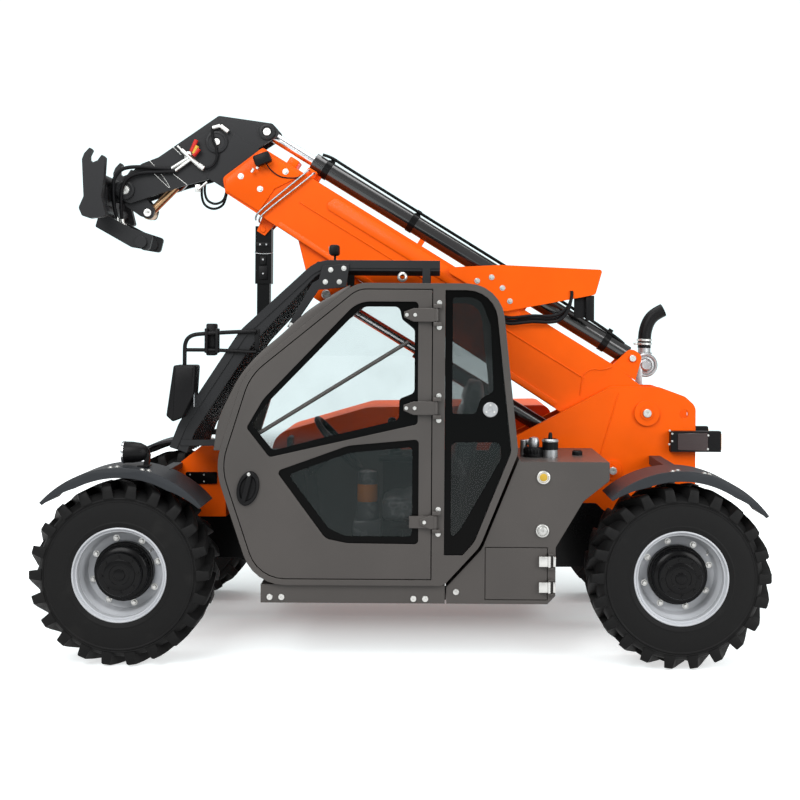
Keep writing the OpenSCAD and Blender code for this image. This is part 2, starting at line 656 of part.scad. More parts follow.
// Fenders over the four wheels, carried by arms from the frame
fender_r = wheel_r + 66;
fender_t = 14;
fender_y0 = track / 2 - tyre_w / 2 + 20;
fender_y1 = track / 2 + tyre_w / 2 - 6;
arm_z = wheel_r * 2 + 14;
module fender(x, side, from, to) {
  translate([x, side * (fender_y0 + fender_y1) / 2, axle_z]) rotate([90, 0, 0]) rotate([0, 0, from])
    translate([0, 0, -(fender_y1 - fender_y0) / 2])
      rotate_extrude(angle = to - from, $fn = 96) translate([fender_r, 0]) square([fender_t, fender_y1 - fender_y0]);
}
module front_fenders() {
  color("#2f3236") for (side = [-1, 1]) {
    fender(front_x, side, 40, 138);
    inner = side > 0 ? [nose_half, fender_y0 + 60] : [-fender_y0 - 60, -nose_half];
    box([front_x + 150, inner[0], arm_z], [front_x + 200, inner[1], arm_z + 30]);
  }
}
module rear_fenders() {
  color("#2f3236") for (side = [-1, 1]) {
    fender(rear_x, side, 36, 132);
    inner = side > 0 ? [rail_r + plate_t, fender_y0 + 60] : [-fender_y0 - 60, rail_l - plate_t];
    box([rear_x - 30, inner[0], arm_z + 10], [rear_x + 30, inner[1], axle_z + fender_r + 6]);
  }
}

// Tank box behind the cab, with a tool hatch, and the sill under the cab
tank_y = cab_left - 22;
tank_outline = rounded([
  [232, 312, 0], [745, 312, 0], [785, 355, 0], [785, 600, 20], [925, 835, 60], [1057, 940, 20], [1057, 1034, 6],
  [606, 1034, 0], [598, 1050, 0], [412, 590, 120], [232, 396, 0]]);
hatch_x = [430, 742];
hatch_z = [335, 596];
hatch_t = 16;
hatch_pin = [hatch_x[1] + 10, -tank_y - 14];
module fuel_tank() {
  color("#4a4846") {
    difference() {
      plate(tank_outline, -tank_y, rail_l - plate_t - 20);
      box([hatch_x[0] - 4, -tank_y - 1, hatch_z[0] - 4], [hatch_x[1] + 4, -tank_y + hatch_t + 2, hatch_z[1] + 4]);
      box([hatch_x[0] + 20, -tank_y, hatch_z[0] + 15], [hatch_x[1] - 20, -tank_y + 420, hatch_z[1] - 15]);
    }
    for (z = [430, 700]) box([500, rail_l - plate_t - 20, z], [700, rail_l - plate_t, z + 60]);
    for (z = hatch_z) translate([hatch_pin.x, hatch_pin.y, (z + 465) / 2 - 40]) cylinder(r = 5, h = 80);
    for (z = hatch_z, up = [-1, 1])
      box([hatch_pin.x - 5, hatch_pin.y - 5, (z + 465) / 2 + up * 36 - 4],
          [hatch_pin.x + 22, -tank_y, (z + 465) / 2 + up * 36 + 4]);
  }
}
module side_hatch() {
  color("#4a4846") difference() {
    union() {
      box([hatch_x[0], -tank_y, hatch_z[0]], [hatch_x[1], -tank_y + hatch_t, hatch_z[1]]);
      for (z = hatch_z) {
        translate([hatch_pin.x, hatch_pin.y, (z + 465) / 2 - 28]) cylinder(r = 9, h = 56);
        box([hatch_pin.x - 50, hatch_pin.y - 3, (z + 465) / 2 - 28], [hatch_pin.x, hatch_pin.y + 7, (z + 465) / 2 + 28]);
        box([hatch_pin.x - 50, hatch_pin.y + 6, (z + 465) / 2 - 28], [hatch_pin.x - 20, -tank_y + 1, (z + 465) / 2 + 28]);
      }
    }
    for (z = hatch_z) translate([hatch_pin.x, hatch_pin.y, (z + 465) / 2 - 50]) cylinder(r = 5 + fit, h = 100);
  }
}
module side_sill() {
  color("#4a4846") box([-710, -tank_y, 312], [224, rail_l - plate_t, 405 - gap]);
}

// Guard of curved bars over the windscreen and the roof
guard_corners = [
  [190, 2052, 0], [-440, 2052, 180], [-830, 1690, 260], [-1140, 1215, 200], [-1186, 1092, 0],
  [-1150, 1080, 0], [-1103, 1195, 170], [-800, 1662, 240], [-425, 2012, 160], [190, 2012, 0]];
guard_bars = 6;
guard_t = 26;
guard_y0 = -cab_left + 70;
guard_y1 = -cab_right - 24;
module roof_guard() {
  color("#333335") {
    for (i = [0:guard_bars - 1]) {
      y = guard_y0 + i * (guard_y1 - guard_t - guard_y0) / (guard_bars - 1);
      plate(rounded(guard_corners), y, y + guard_t);
    }
    for (at = [[170, 2032], [-430, 2030], [-815, 1676], [-1150, 1120]]) bar(at, 15, guard_y0, guard_y1);
    for (y = [guard_y0, guard_y1 - guard_t]) {
      box([100, y, cab_top], [140, y + guard_t, 2032]);
      box([-330, y, cab_top], [-290, y + guard_t, 2032]);
      box([-1130, y, 1100], [-938, y + guard_t, 1130]);
    }
  }
}
// Mirror on a tube frame ahead of the door
module mirror_arm() {
  y = guard_y0 - 11;
  color("#161616") {
    rod([-800, y, 1470 + 60], [-1100, y, 1545], 11);
    rod([-800, y, 1620], [-1100, y, 1640], 11);
    rod([-1100, y, 1380], [-1100, y, 1660], 13);
    box([-1180, y - 110, 1240], [-1128, y + 60, 1530]);
    box([-1130, y - 12, 1400], [-1088, y + 12, 1440]);
  }
}
// Lamps: headlamps on the front fenders and lamp arms at the rear
module head_lamps() {
  color("#1c1c1e") for (side = [-1, 1]) {
    y = side * (fender_y0 + 180);
    box([front_x + 70, y - 20, axle_z + sqrt(pow(fender_r + fender_t, 2) - 70 * 70)], [front_x + 100, y + 20, arm_z + 110]);
    translate([front_x + 20, y, arm_z + 130]) rotate([0, -90, 0]) cylinder(r = 52, h = 60);
    box([front_x + 20, y - 20, arm_z + 90], [front_x + 100, y + 20, arm_z + 150]);
  }
}
module rear_lamps() {
  color("#1a1111") for (side = [-1, 1]) {
    y0 = side > 0 ? rail_r + plate_t : rail_l - plate_t - 60;
    box([tower_x - 150, y0, 1020], [tower_x + 132, y0 + 60, 1135]);
  }
}
// Air cleaner bowl and its curved inlet pipe, on a bracket on the right plate
intake_at = [pivot.x + 40, 1494];
module air_intake() {
  y = rail_r + plate_t + 70;
  color("#8a8c8e") {
    bar(intake_at, 66, y - 60, y + 90);
    translate([intake_at.x, y, intake_at.y + 40]) cylinder(r = 34, h = 100);
    box([intake_at.x - 60, rail_r + plate_t, pivot_z + 80], [intake_at.x - 20, rail_r + plate_t + 20, intake_at.y + 30]);
    box([intake_at.x - 60, rail_r + plate_t, intake_at.y - 30], [intake_at.x - 20, y, intake_at.y + 30]);
  }
  color("#222222") translate([intake_at.x, y, intake_at.y + 140 + gap]) {
    cylinder(r = 44, h = 120);
    translate([110, 0, 120]) rotate([90, 0, 0]) rotate([0, 0, 180 - 62]) rotate_extrude(angle = 62) translate([110, 0]) circle(r = 40);
  }
}
// Inside the cab: a seat, a console with the steering column, and the wheel
seat_at = [170, -cab_left + 380];
module seat() {
  color("#23272b") translate([seat_at.x, seat_at.y, 445]) {
    box([-200, -150, gap], [20, 150, 262]);
    plate(rounded([[-290, 262, 40], [150, 262, 20], [150, 380, 30], [-290, 390, 50]]), -235, 235);
    plate(rounded([[70, 370, 0], [150, 370, 0], [260, 1000, 40], [170, 1010, 40]]), -225, 225);
  }
}
column_top = [-345, 1085];
column_deg = 49;
column_dir = [sin(column_deg), 0, cos(column_deg)];
wheel_hub = 18;
module console() {
  color("#2a2c2e") {
    plate(rounded([[-640, 600, 60], [-520, 445 + gap, 0], [-440, 445 + gap, 0], [-500, 960, 40], [-620, 1010, 40], [-780, 930, 60]]),
          -cab_left + 120, -cab_right - 110);
    top = [column_top.x, seat_at.y, column_top.y];
    rod(top - 276 * column_dir, top - (wheel_hub + gap) * column_dir, 34);
    box([-120, -cab_right - 130, 445 + gap], [160, -cab_right - 50, 980]);
  }
}
module steering_wheel() {
  color("#141414") translate([column_top.x, seat_at.y, column_top.y]) rotate([0, column_deg, 0]) {
    rotate_extrude($fn = 48) translate([175, 0]) circle(r = 16, $fn = 16);
    for (a = [90, 210, 330]) rotate([0, 0, a]) translate([0, -18, -6]) cube([168, 36, 12]);
    translate([0, 0, -wheel_hub]) cylinder(r = 46, h = 2 * wheel_hub);
  }
}
// Guard plate over the hoses beside the boom
module hose_guard() {
  color("#f05a0a") {
    on_boom() {
      for (p = [[1150, 118], [1000, 110]]) bar(p, 14, -boom_half - 14, -boom_half);
    }
    plate(rounded([[-62 + 254, 2048, 20], [340, 1960, 60], [480, 1880, 60], [545, 1798, 40], [1072, 1900, 24], [1112, 2042, 14], [540, 2066, 40]]),
          boom_y - boom_half - 28, boom_y - boom_half - 14);
  }
}
module shown(name) { children(); }
shown("chassis_frame") chassis_frame();
shown("frame_left") frame_left();
shown("frame_right") frame_right();
shown("frame_pins") frame_pins();
shown("nose_left") nose_left();
shown("nose_right") nose_right();
shown("boom_prop") boom_prop();
shown("front_axle") axle(front_x);
shown("rear_axle") axle(rear_x);
shown("engine_block") engine_block();
shown("engine_bay") engine_bay();
shown("engine_hood") engine_hood();
shown("cab_frame") cab_frame();
shown("windscreen") windscreen();
shown("rear_glass") rear_glass();
shown("quarter_glass") quarter_glass();
shown("right_glass") right_glass();
shown("door") door();
shown("door_glass") door_glass();
shown("seat") seat();
shown("console") console();
shown("steering_wheel") steering_wheel();
shown("roof_guard") roof_guard();
shown("mirror_arm") mirror_arm();
shown("fuel_tank") fuel_tank();
shown("side_hatch") side_hatch();
shown("side_sill") side_sill();
shown("front_fenders") front_fenders();
shown("rear_fenders") rear_fenders();
shown("head_lamps") head_lamps();
shown("rear_lamps") rear_lamps();
shown("air_intake") air_intake();
shown("boom_outer") boom_outer();
shown("hose_guard") hose_guard();
shown("extension_barrel") extension_barrel();
shown("extension_rod") extension_rod();
shown("boom_inner") boom_inner();
shown("lift_barrel") lift_barrel();
shown("lift_rod") lift_rod();
shown("tilt_barrel") tilt_barrel();
shown("tilt_rod") tilt_rod();
shown("carriage") carriage();
for (w = [["fl", front_x, -1], ["fr", front_x, 1], ["rl", rear_x, -1], ["rr", rear_x, 1]]) {
  shown(str("tyre_", w[0])) tyre(w[1], w[2]);
  shown(str("rim_", w[0])) rim(w[1], w[2]);
  shown(str("hub_", w[0])) hub(w[1], w[2]);
  shown(str("knuckle_", w[0])) knuckle(w[1], w[2]);
}
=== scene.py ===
"""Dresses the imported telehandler: finishes for every CAD node, and the pieces the solids leave plain."""

import math

import bmesh
import bpy
from mathutils import Matrix, Vector


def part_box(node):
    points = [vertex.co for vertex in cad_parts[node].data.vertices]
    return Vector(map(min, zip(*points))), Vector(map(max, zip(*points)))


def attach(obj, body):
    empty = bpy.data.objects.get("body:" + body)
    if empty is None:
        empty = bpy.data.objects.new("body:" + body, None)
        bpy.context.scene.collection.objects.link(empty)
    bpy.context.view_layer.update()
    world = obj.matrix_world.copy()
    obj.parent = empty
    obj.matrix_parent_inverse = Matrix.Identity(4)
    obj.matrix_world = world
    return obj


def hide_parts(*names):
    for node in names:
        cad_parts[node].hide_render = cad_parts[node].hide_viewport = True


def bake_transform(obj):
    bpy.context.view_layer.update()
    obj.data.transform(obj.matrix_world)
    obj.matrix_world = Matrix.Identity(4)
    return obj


bl_info = {
    "name": "Telehandler looks",
    "version": (1, 0, 0),
    "blender": (4, 5, 0),
    "location": "3D View > Sidebar > Telehandler",
    "description": "Finishes and fine pieces around the packed telehandler frame",
    "category": "Object",
}

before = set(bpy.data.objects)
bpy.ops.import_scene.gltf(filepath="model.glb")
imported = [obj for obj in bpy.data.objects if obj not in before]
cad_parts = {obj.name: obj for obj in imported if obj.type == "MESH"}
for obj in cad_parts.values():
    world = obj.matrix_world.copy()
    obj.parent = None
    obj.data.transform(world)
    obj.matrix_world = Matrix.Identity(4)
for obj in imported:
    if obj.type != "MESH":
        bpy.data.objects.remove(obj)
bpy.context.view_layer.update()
NEAR = (0, -1, 0)
UP = (0, 0, 1)
AXLE_X, TRACK_HALF, AXLE_Z = [(low + high) / 2 for low, high in zip(*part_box("tyre_rr"))]
# Place of the axle, and the side: -1 is the cab's.
WHEELS = {"fl": (-AXLE_X, -1), "fr": (-AXLE_X, 1), "rl": (AXLE_X, -1), "rr": (AXLE_X, 1)}
PIVOT = Vector((1.365, 0.04, 1.232))
BOOM_TILT = math.radians(31.4)
BOOM_HALF = (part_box("boom_outer")[1][1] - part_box("boom_outer")[0][1]) / 2
CAB_FACE = -0.905
TANK_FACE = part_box("side_sill")[0][1]
TANK_TOP = 1.034
FRAME_SIDE = -.1085
FENDER_RADIUS = .540
HINGE_HEIGHTS = (1.775, 1.305, .730)
HATCH_HINGES = (.400, .5305)
CATCH = (.449, 1.298)
# Pins of the head: along the boom, square to it, radius of the cap and of the ring round it.
HEAD_PINS = ((2.674, .225, .023, .046), (2.888, .025, .021, .064), (3.189, -.483, .027, .055))

# The photograph's camera, the growth of a pixel with the distance from it, and the pixel it faces.
CAMERA = (0.181, -7.6, 1.74)
CAMERA_ROLL = 0.0065
CAMERA_LENS = 59.6
CAMERA_SHIFT = (-0.0475, -0.0975)
PIXEL_GROWTH = 0.0007545
FACED_PIXEL = (438, 322)
MIDDLE_PIXEL = 400

# Places read from the photograph, in its pixels.
GUARD_BOLTS_PX = ((491.4, 277.5), (502.2, 288.2), (509.8, 301.4), (477, 281))
GUARD_BRACKET_PX = ((586, 321), (593.5, 296))
GUARD_STAY_PX = ((574, 318), (587, 296))
# A hose under the guard plate, with the share of the drop between hoses that each place takes.
GUARD_HOSE_PX = ((500, 316, 1), (512, 318, 1), (532, 316, 1), (550, 316.5, 1), (561, 313.5, 1),
                 (568.5, 306, .6), (571.5, 297, 0), (571.5, 291, 0))
# Both ends of each round bar of the couplers, and its radius.
COUPLER_BARS_PX = (((180, 150), (198, 166), .013), ((170, 168.6), (187, 158), .010),
                   ((174, 171), (189, 160), .010), ((176, 146), (183, 153), .006),
                   ((197, 165), (203, 169), .016), ((211, 128), (219, 126), .012),
                   ((219, 126), (227, 132), .013), ((197, 190), (206, 182), .007))
COUPLER_BODY_PX = ((183, 159), (191, 152))
COUPLER_FOOT_PX = ((194, 192), (200, 185))
COUPLER_LEVERS_PX = {
    "coupler_lever_red": ("red", (190, 152), (195, 140)),
    "coupler_lever_low": ("red", (192, 156), (198, 149)),
    "coupler_lever_yellow": ("yellow", (192, 154), (196, 146)),
}
# The hoses on the head, and how far each lies behind the first one.
HEAD_HOSES_PX = {
    "head_hose_0": (((201, 167.5), (207, 168), (212.5, 164.5), (215.5, 157.5), (215, 148.5), (212, 140),
                     (210.5, 132), (212, 126.5)), 0),
    "head_hose_1": (((204, 183), (204, 193.5), (207.1, 200.9), (214.5, 204), (221.9, 200.9), (225, 193.5),
                     (225, 186), (223.5, 179)), .03),
    "head_hose_2": (((201, 184), (201, 197), (204.5, 205.5), (213, 209), (221.5, 205.5), (225, 197),
                     (226, 188), (225, 179)), .055),
}
FRONT_HOSES_PX = {
    "front_hose_0": ((170, 169), (158, 168.4), (138, 167), (122, 169), (113.5, 178), (112, 190), (113, 205),
                     (116, 219)),
    "front_hose_1": ((174, 171.5), (160, 172), (140, 173), (127, 178), (121, 188), (120, 200), (120.5, 211),
                     (121, 221)),
}
FRONT_BEND_PX = ((128, 175), (117, 200))
# Below this row the front hoses swerve inwards.
FRONT_SWERVE_PX = 195
CARRIAGE_BLOCK_PX = ((110, 229), (126, 224))
HEAD_LINES_PX = (((148, 160.5), (163, 176), (169, 188)), ((171, 146.5), (180, 155)),
                 ((153, 174), (168, 188)), ((172, 174), (186, 185)))
SIGHT_GLASS_PX = (544.6, 477.7)
DRAIN_PLUG_PX = (543.8, 531.1)
TOWER_SCREWS_PX = ((670.6, 431), (673, 434), (673, 441.4), (670, 444.5), (709.2, 435.7), (708.8, 449.4))
DOOR_STRUT_PX = ((257.4, 434.8), (333, 388.4), (408.9, 341.8))
MIRROR_PX = ((176.5, 365), (198.8, 365), (197, 394), (186, 417), (176, 421), (169.5, 415))
MIRROR_GLASS_PX = MIRROR_PX[2]
MIRROR_CLAMP_PX = ((205.8, 355.8), (218, 323.8))
MIRROR_FOOT_PX = ((254.6, 352.6), (260, 329.6))
UPPER_TUBE_PX = ((256.2, 331.4), (236, 332.2), (218.3, 333), (201, 334.1), (193.3, 335), (187.6, 338.2),
                 (185, 344), (184.7, 350), (184.7, 366))
LOWER_TUBE_PX = ((256.7, 352.5), (240, 351.6), (219.3, 350.4), (198, 350.1), (184.7, 350.1))
GUARD_BRACE_PX = ((318.4, 279.5), (322, 266), (349, 264), (346, 287.4), (318.4, 290), (292, 329.5),
                  (287, 326.8), (311.8, 283.4))
BRACE_BOLTS_PX = ((325, 282.1), (339, 282.1), (330.3, 270), (343.4, 268.5), (291, 325.5))


class LooksSettings(bpy.types.PropertyGroup):
    """Sizes and colours of the looks."""

    orange: bpy.props.FloatVectorProperty(
        name="Orange", description="Paint of the chassis and the outer boom",
        default=(0.94, 0.115, 0.0015), size=3, subtype="COLOR")
    cab_grey: bpy.props.FloatVectorProperty(
        name="Cab grey", description="Warm grey paint of the cab, door and tank",
        default=(0.062, 0.056, 0.052), size=3, subtype="COLOR")
    head_grey: bpy.props.FloatVectorProperty(
        name="Head grey", description="Dark paint of the boom head, carriage and guards",
        default=(0.0175, 0.018, 0.0195), size=3, subtype="COLOR")
    rim_silver: bpy.props.FloatVectorProperty(
        name="Rim silver", description="Paint of the wheel rims",
        default=(0.55, 0.57, 0.60), size=3, subtype="COLOR")
    lug_count: bpy.props.IntProperty(
        name="Lugs", description="Lugs on each half of a tyre", default=22, min=16, max=26)
    lug_width: bpy.props.FloatProperty(
        name="Lug width", description="Width of a lug at its foot", default=0.058, unit="LENGTH")
    hose_radius: bpy.props.FloatProperty(
        name="Hose radius", description="Radius of the hydraulic hoses", default=0.011, unit="LENGTH")


class Wire:
    """One socket of a shader, with the arithmetic that the finishes use."""

    def __init__(self, shader, socket):
        self.shader = shader
        self.socket = socket

    def _math(self, operation, a, b):
        return self.shader.node("ShaderNodeMath", {"operation": operation}, {0: a, 1: b})

    def __add__(self, other):
        return self._math("ADD", self, other)

    __radd__ = __add__

    def __mul__(self, other):
        return self._math("MULTIPLY", self, other)

    def __sub__(self, other):
        return self._math("SUBTRACT", self, other)

    def __rsub__(self, other):
        return self._math("SUBTRACT", other, self)

    def over(self, edge, width):
        """0 below the edge and 1 above it, with a soft step of that width."""
        settings = {"interpolation_type": "SMOOTHSTEP"}
        return self.shader.node("ShaderNodeMapRange", settings,
                                {0: self, 1: edge - width, 2: edge + width})


class Finish:
    """A material under way."""

    def __init__(self, name):
        self.material = bpy.data.materials.new(name)
        self.material.use_nodes = True
        self.tree = self.material.node_tree
        self.surface = self.tree.nodes["Principled BSDF"]
        self.object = self.node("ShaderNodeTexCoord", out="Object")

    def node(self, kind, settings=None, values=None, out=0):
        """Adds a node, sets it up, fills or links its sockets, and gives back one of its outputs."""
        made = self.tree.nodes.new(kind)
        for key, value in (settings or {}).items():
            setattr(made, key, value)
        for key, value in (values or {}).items():
            self.feed(made.inputs[key], value)
        return Wire(self, made.outputs[out])

    def feed(self, socket, value):
        """Links a wire to a socket, or sets the socket's own value."""
        if isinstance(value, Wire):
            self.tree.links.new(value.socket, socket)
        else:
            socket.default_value = value

    def set(self, **values):
        """Sets sockets of the surface by their names, with _ for a space."""
        for key, value in values.items():
            self.feed(self.surface.inputs[key.replace("_", " ")], value)
        return self

    def noise(self, scale, detail=3.0, vector=None):
        values = {"Vector": vector or self.object, "Scale": scale, "Detail": detail}
        return self.node("ShaderNodeTexNoise", None, values)

    def blend(self, mask, low, high):
        """A colour that goes from low to high with a mask."""
        low = low if isinstance(low, Wire) else (*low, 1)
        high = high if isinstance(high, Wire) else (*high, 1)
        return self.node("ShaderNodeMix", {"data_type": "RGBA"}, {0: mask, 6: low, 7: high}, out=2)

    def rounded(self, radius):
        """The surface's normal with its edges eased."""
        return self.node("ShaderNodeBevel", {"samples": 3}, {"Radius": radius})

    def edges(self, eased):
        """1 on the edges that the eased normal turns away from, 0 on flats."""
        flat = self.node("ShaderNodeNewGeometry", out="Normal")
        dot = {"operation": "DOT_PRODUCT"}
        agreed = self.node("ShaderNodeVectorMath", dot, {0: flat, 1: eased}, out="Value")
        return (1.0 - agreed).over(0.06, 0.05)

    def bump(self, height, strength, distance, normal=None):
        values = {"Height": height, "Strength": strength, "Distance": distance}
        if normal is not None:
            values["Normal"] = normal
        return self.node("ShaderNodeBump", None, values)


def shade(colour, factor):
    """A colour made lighter or darker."""
    return tuple(min(1.0, c * factor) for c in colour)


def painted(name, colour, roughness, peel, ease=0.004, coat=0.3, speck_and_highlight=1.6, shine=0.5):
    """Sprayed paint: cloudy tone, orange peel, fine specks, and paler edges that are painted highlights."""
    f = Finish(name)
    eased = f.rounded(ease)
    edge_highlight = f.edges(eased)
    cloud = f.noise(2.3, 4)
    speck = f.noise(160, 2)
    tone = f.blend(cloud.over(0.5, 0.25), shade(colour, 0.9), shade(colour, 1.08))
    tone = f.blend(speck.over(0.72, 0.05) * 0.25, tone, shade(colour, speck_and_highlight))
    # Painted highlights: the edges are lightened towards the same paler colour as the specks.
    tone = f.blend(edge_highlight * 0.45, tone, shade(colour, speck_and_highlight))
    f.set(Base_Color=tone, Roughness=roughness + cloud * 0.12 + speck * 0.06)
    f.set(Normal=f.bump(speck, peel, 0.0006, eased), Coat_Weight=coat, Coat_Roughness=0.12)
    f.set(Specular_IOR_Level=shine)
    return f.material


def moulded(name, colour, roughness, grain=420, depth=0.35, ease=0.004, shine=0.28):
    """Black or grey moulded plastic with a fine leathery grain."""
    f = Finish(name)
    eased = f.rounded(ease)
    pores = f.node("ShaderNodeTexVoronoi", {"feature": "F1"}, {"Vector": f.object, "Scale": grain})
    cloud = f.noise(3.5, 3)
    tone = f.blend(cloud, shade(colour, 0.8), shade(colour, 1.3))
    f.set(Base_Color=tone, Roughness=roughness + cloud * 0.15)
    f.set(Normal=f.bump(pores, depth, 0.0008, eased), Specular_IOR_Level=shine)
    return f.material


def metal(name, colour, roughness, brushed=90):
    """Bare or plated metal with fine draw marks and a little tarnish."""
    f = Finish(name)
    stretch = (brushed, brushed, brushed * 0.12)
    drawn = f.node("ShaderNodeMapping", None, {"Vector": f.object, "Scale": stretch})
    marks = f.noise(4, 2, drawn)
    spots = f.noise(14, 4)
    tone = f.blend(spots.over(0.62, 0.12), colour, shade(colour, 0.72))
    f.set(Base_Color=tone, Metallic=1.0, Roughness=roughness + marks * 0.12 + spots * 0.08)
    f.set(Normal=f.bump(marks, 0.12, 0.0005, f.rounded(0.002)))
    return f.material


def rubber(name, colour):
    """Tyre rubber: dull, faintly mottled, with a few dusty patches."""
    f = Finish(name)
    mottle = f.noise(26, 5)
    fine = f.noise(320, 2)
    tone = f.blend(mottle, shade(colour, 0.7), shade(colour, 1.35))
    tone = f.blend(f.noise(7, 3).over(0.66, 0.1) * 0.1, tone, (0.05, 0.048, 0.045))
    f.set(Base_Color=tone, Roughness=0.50 + mottle * 0.2, Normal=f.bump(fine + mottle * 2.0, 0.3, 0.001))
    f.set(Specular_IOR_Level=0.16)
    return f.material


def pane(name, tint, alpha, shaded_low_alpha=None):
    """Tinted window glass with a faint film; a second, higher alpha below the door's middle bar is painted
    shade of the dim cab inside.
    """
    f = Finish(name)
    film = f.noise(3.2, 5)
    f.set(Base_Color=f.blend(film, shade(tint, 0.8), shade(tint, 1.2)), Roughness=0.015 + film * 0.03)
    strength = alpha
    # Painted shade: below the middle bar the pane is darker.
    if shaded_low_alpha is not None:
        up = f.node("ShaderNodeSeparateXYZ", None, {0: f.object}, out="Z").over(1.15, 0.06)
        strength = shaded_low_alpha + up * (alpha - shaded_low_alpha)
    f.set(Alpha=film.over(0.6, 0.2) * 0.04 + strength, IOR=1.5, Specular_IOR_Level=0.3)
    return f.material


def lens(name, colour, metallic):
    """Lamp lens with the ribs of its optics."""
    f = Finish(name)
    ribs = f.node("ShaderNodeTexWave", {"bands_direction": "Z"},
                  {"Vector": f.object, "Scale": 60.0, "Distortion": 0.4})
    f.set(Base_Color=f.blend(ribs, colour, shade(colour, 1.5)), Roughness=0.1 + ribs * 0.1)
    f.set(Normal=f.bump(ribs, 0.4, 0.001), Coat_Weight=0.6, Metallic=metallic)
    return f.material


def cover(name, colour):
    """Seat vinyl with a crinkled clear film over it, and a painted sheen along the film's creases."""
    f = Finish(name)
    swell = f.noise(7, 3)
    crinkle = f.noise(24, 4)
    crease_sheen = (0.05 - f.node("ShaderNodeMath", {"operation": "ABSOLUTE"},
                            {0: swell - 0.5})).over(0.035, 0.015)
    # Painted sheen: pale lines along the creases of the film.
    f.set(Base_Color=f.blend(crease_sheen * 0.35 + crinkle * 0.12, colour, (0.42, 0.44, 0.45)), Coat_Weight=0.6)
    f.set(Roughness=0.2 + crinkle * 0.25, Normal=f.bump(swell * 2.0 + crinkle * 0.6, 0.6, 0.006))
    return f.material


FINISHES = {}


def make_finishes(look):
    """Every finish of the machine, by the name its pieces use."""
    # After the colour, paint has its roughness, orange peel, edge radius, coat, the lightening of its
    # specks and of its painted edge highlights, and shine, plastic its roughness, grain, grain depth, edge
    # radius and shine, and metal its roughness and draw marks.
    FINISHES.update({
        "orange": painted("orange_paint", look.orange, 0.30, 0.06, 0.005, 0.06, 1.2, 0.12),
        "cab": painted("cab_grey_paint", look.cab_grey, 0.36, 0.10, 0.006, 0.15, 2.4, 0.35),
        "head": painted("head_grey_paint", look.head_grey, 0.40, 0.12, 0.004, 0.06, 1.8, 0.2),
        "black": painted("black_enamel", (0.0035, 0.0035, 0.0038), 0.20, 0.05, 0.003, 0.06, 5.0, 0.12),
        "barrel": painted("barrel_enamel", (0.006, 0.006, 0.0065), 0.14, 0.02, 0.002, 0.9, 3.0, 0.5),
        "rim": painted("rim_silver_paint", look.rim_silver, 0.30, 0.05, 0.003, 0.3, 1.3),
        "fender": moulded("fender_plastic", (0.021, 0.024, 0.028), 0.38, 500, 0.18),
        "plastic": moulded("black_plastic", (0.005, 0.005, 0.0055), 0.34, shine=0.15),
        "gasket": moulded("rubber_gasket", (0.004, 0.004, 0.004), 0.55, 700, 0.2, shine=0.08),
        "frit": moulded("glass_border", (0.002, 0.002, 0.002), 0.10, 900, 0.02, 0.001, 0.06),
        "hose": moulded("hose_rubber", (0.005, 0.005, 0.006), 0.42, 800, 0.3, 0.001, 0.15),
        "chrome": metal("rod_chrome", (0.72, 0.73, 0.75), 0.08, 60),
        "zinc": metal("zinc_bolts", (0.66, 0.66, 0.64), 0.28, 140),
        "bronze": metal("tilt_rod_bronze", (0.42, 0.26, 0.14), 0.25, 90),
        "cast": metal("cast_alloy", (0.42, 0.43, 0.44), 0.34, 60),
        "tyre": rubber("tyre_rubber", (0.0065, 0.0065, 0.0066)),
        "glass": pane("cab_glass", (0.030, 0.060, 0.060), 0.10),
        "door_glass": pane("door_glass_tint", (0.012, 0.020, 0.020), 0.06, 0.44),
        "dark_glass": pane("quarter_glass_tint", (0.010, 0.014, 0.014), 0.52),
        "red": moulded("red_handle", (0.55, 0.02, 0.015), 0.3, 600, 0.1),
        "yellow": moulded("yellow_handle", (0.62, 0.40, 0.05), 0.3, 600, 0.1),
        "amber": lens("amber_lens", (0.75, 0.22, 0.01), 0.0),
        "clear_lens": lens("lamp_lens", (0.55, 0.57, 0.60), 0.4),
        "red_lens": lens("tail_lens", (0.020, 0.004, 0.004), 0.0),
        "mirror": metal("mirror_silver", (0.80, 0.82, 0.84), 0.03, 4),
        "seat": cover("seat_cover", (0.020, 0.024, 0.028)),
        "film": cover("film_wrap", (0.10, 0.11, 0.115)),
    })


NODE_FINISH = {
    "orange": ["chassis_frame", "frame_left", "frame_right", "nose_left", "nose_right", "engine_bay",
               "engine_hood", "boom_outer", "hose_guard", "frame_pins"],
    "cab": ["cab_frame", "door", "fuel_tank", "side_hatch", "side_sill"],
    "head": ["boom_inner", "carriage", "roof_guard"],
    "black": ["front_axle", "rear_axle", "engine_block", "boom_prop",
              *(kind + w for w in WHEELS for kind in ("hub_", "knuckle_"))],
    "barrel": ["lift_barrel", "tilt_barrel", "extension_barrel"],
    "glass": ["windscreen", "rear_glass", "right_glass"],
    "door_glass": ["door_glass"],
    "dark_glass": ["quarter_glass"],
    "fender": ["front_fenders", "rear_fenders"],
    "plastic": ["mirror_arm", "console", "steering_wheel", "head_lamps", "rear_lamps"],
    "chrome": ["extension_rod", "lift_rod"],
    "bronze": ["tilt_rod"],
    "cast": ["air_intake"],
    "seat": ["seat"],
    "tyre": ["tyre_" + w for w in WHEELS],
    "rim": ["rim_" + w for w in WHEELS],
}


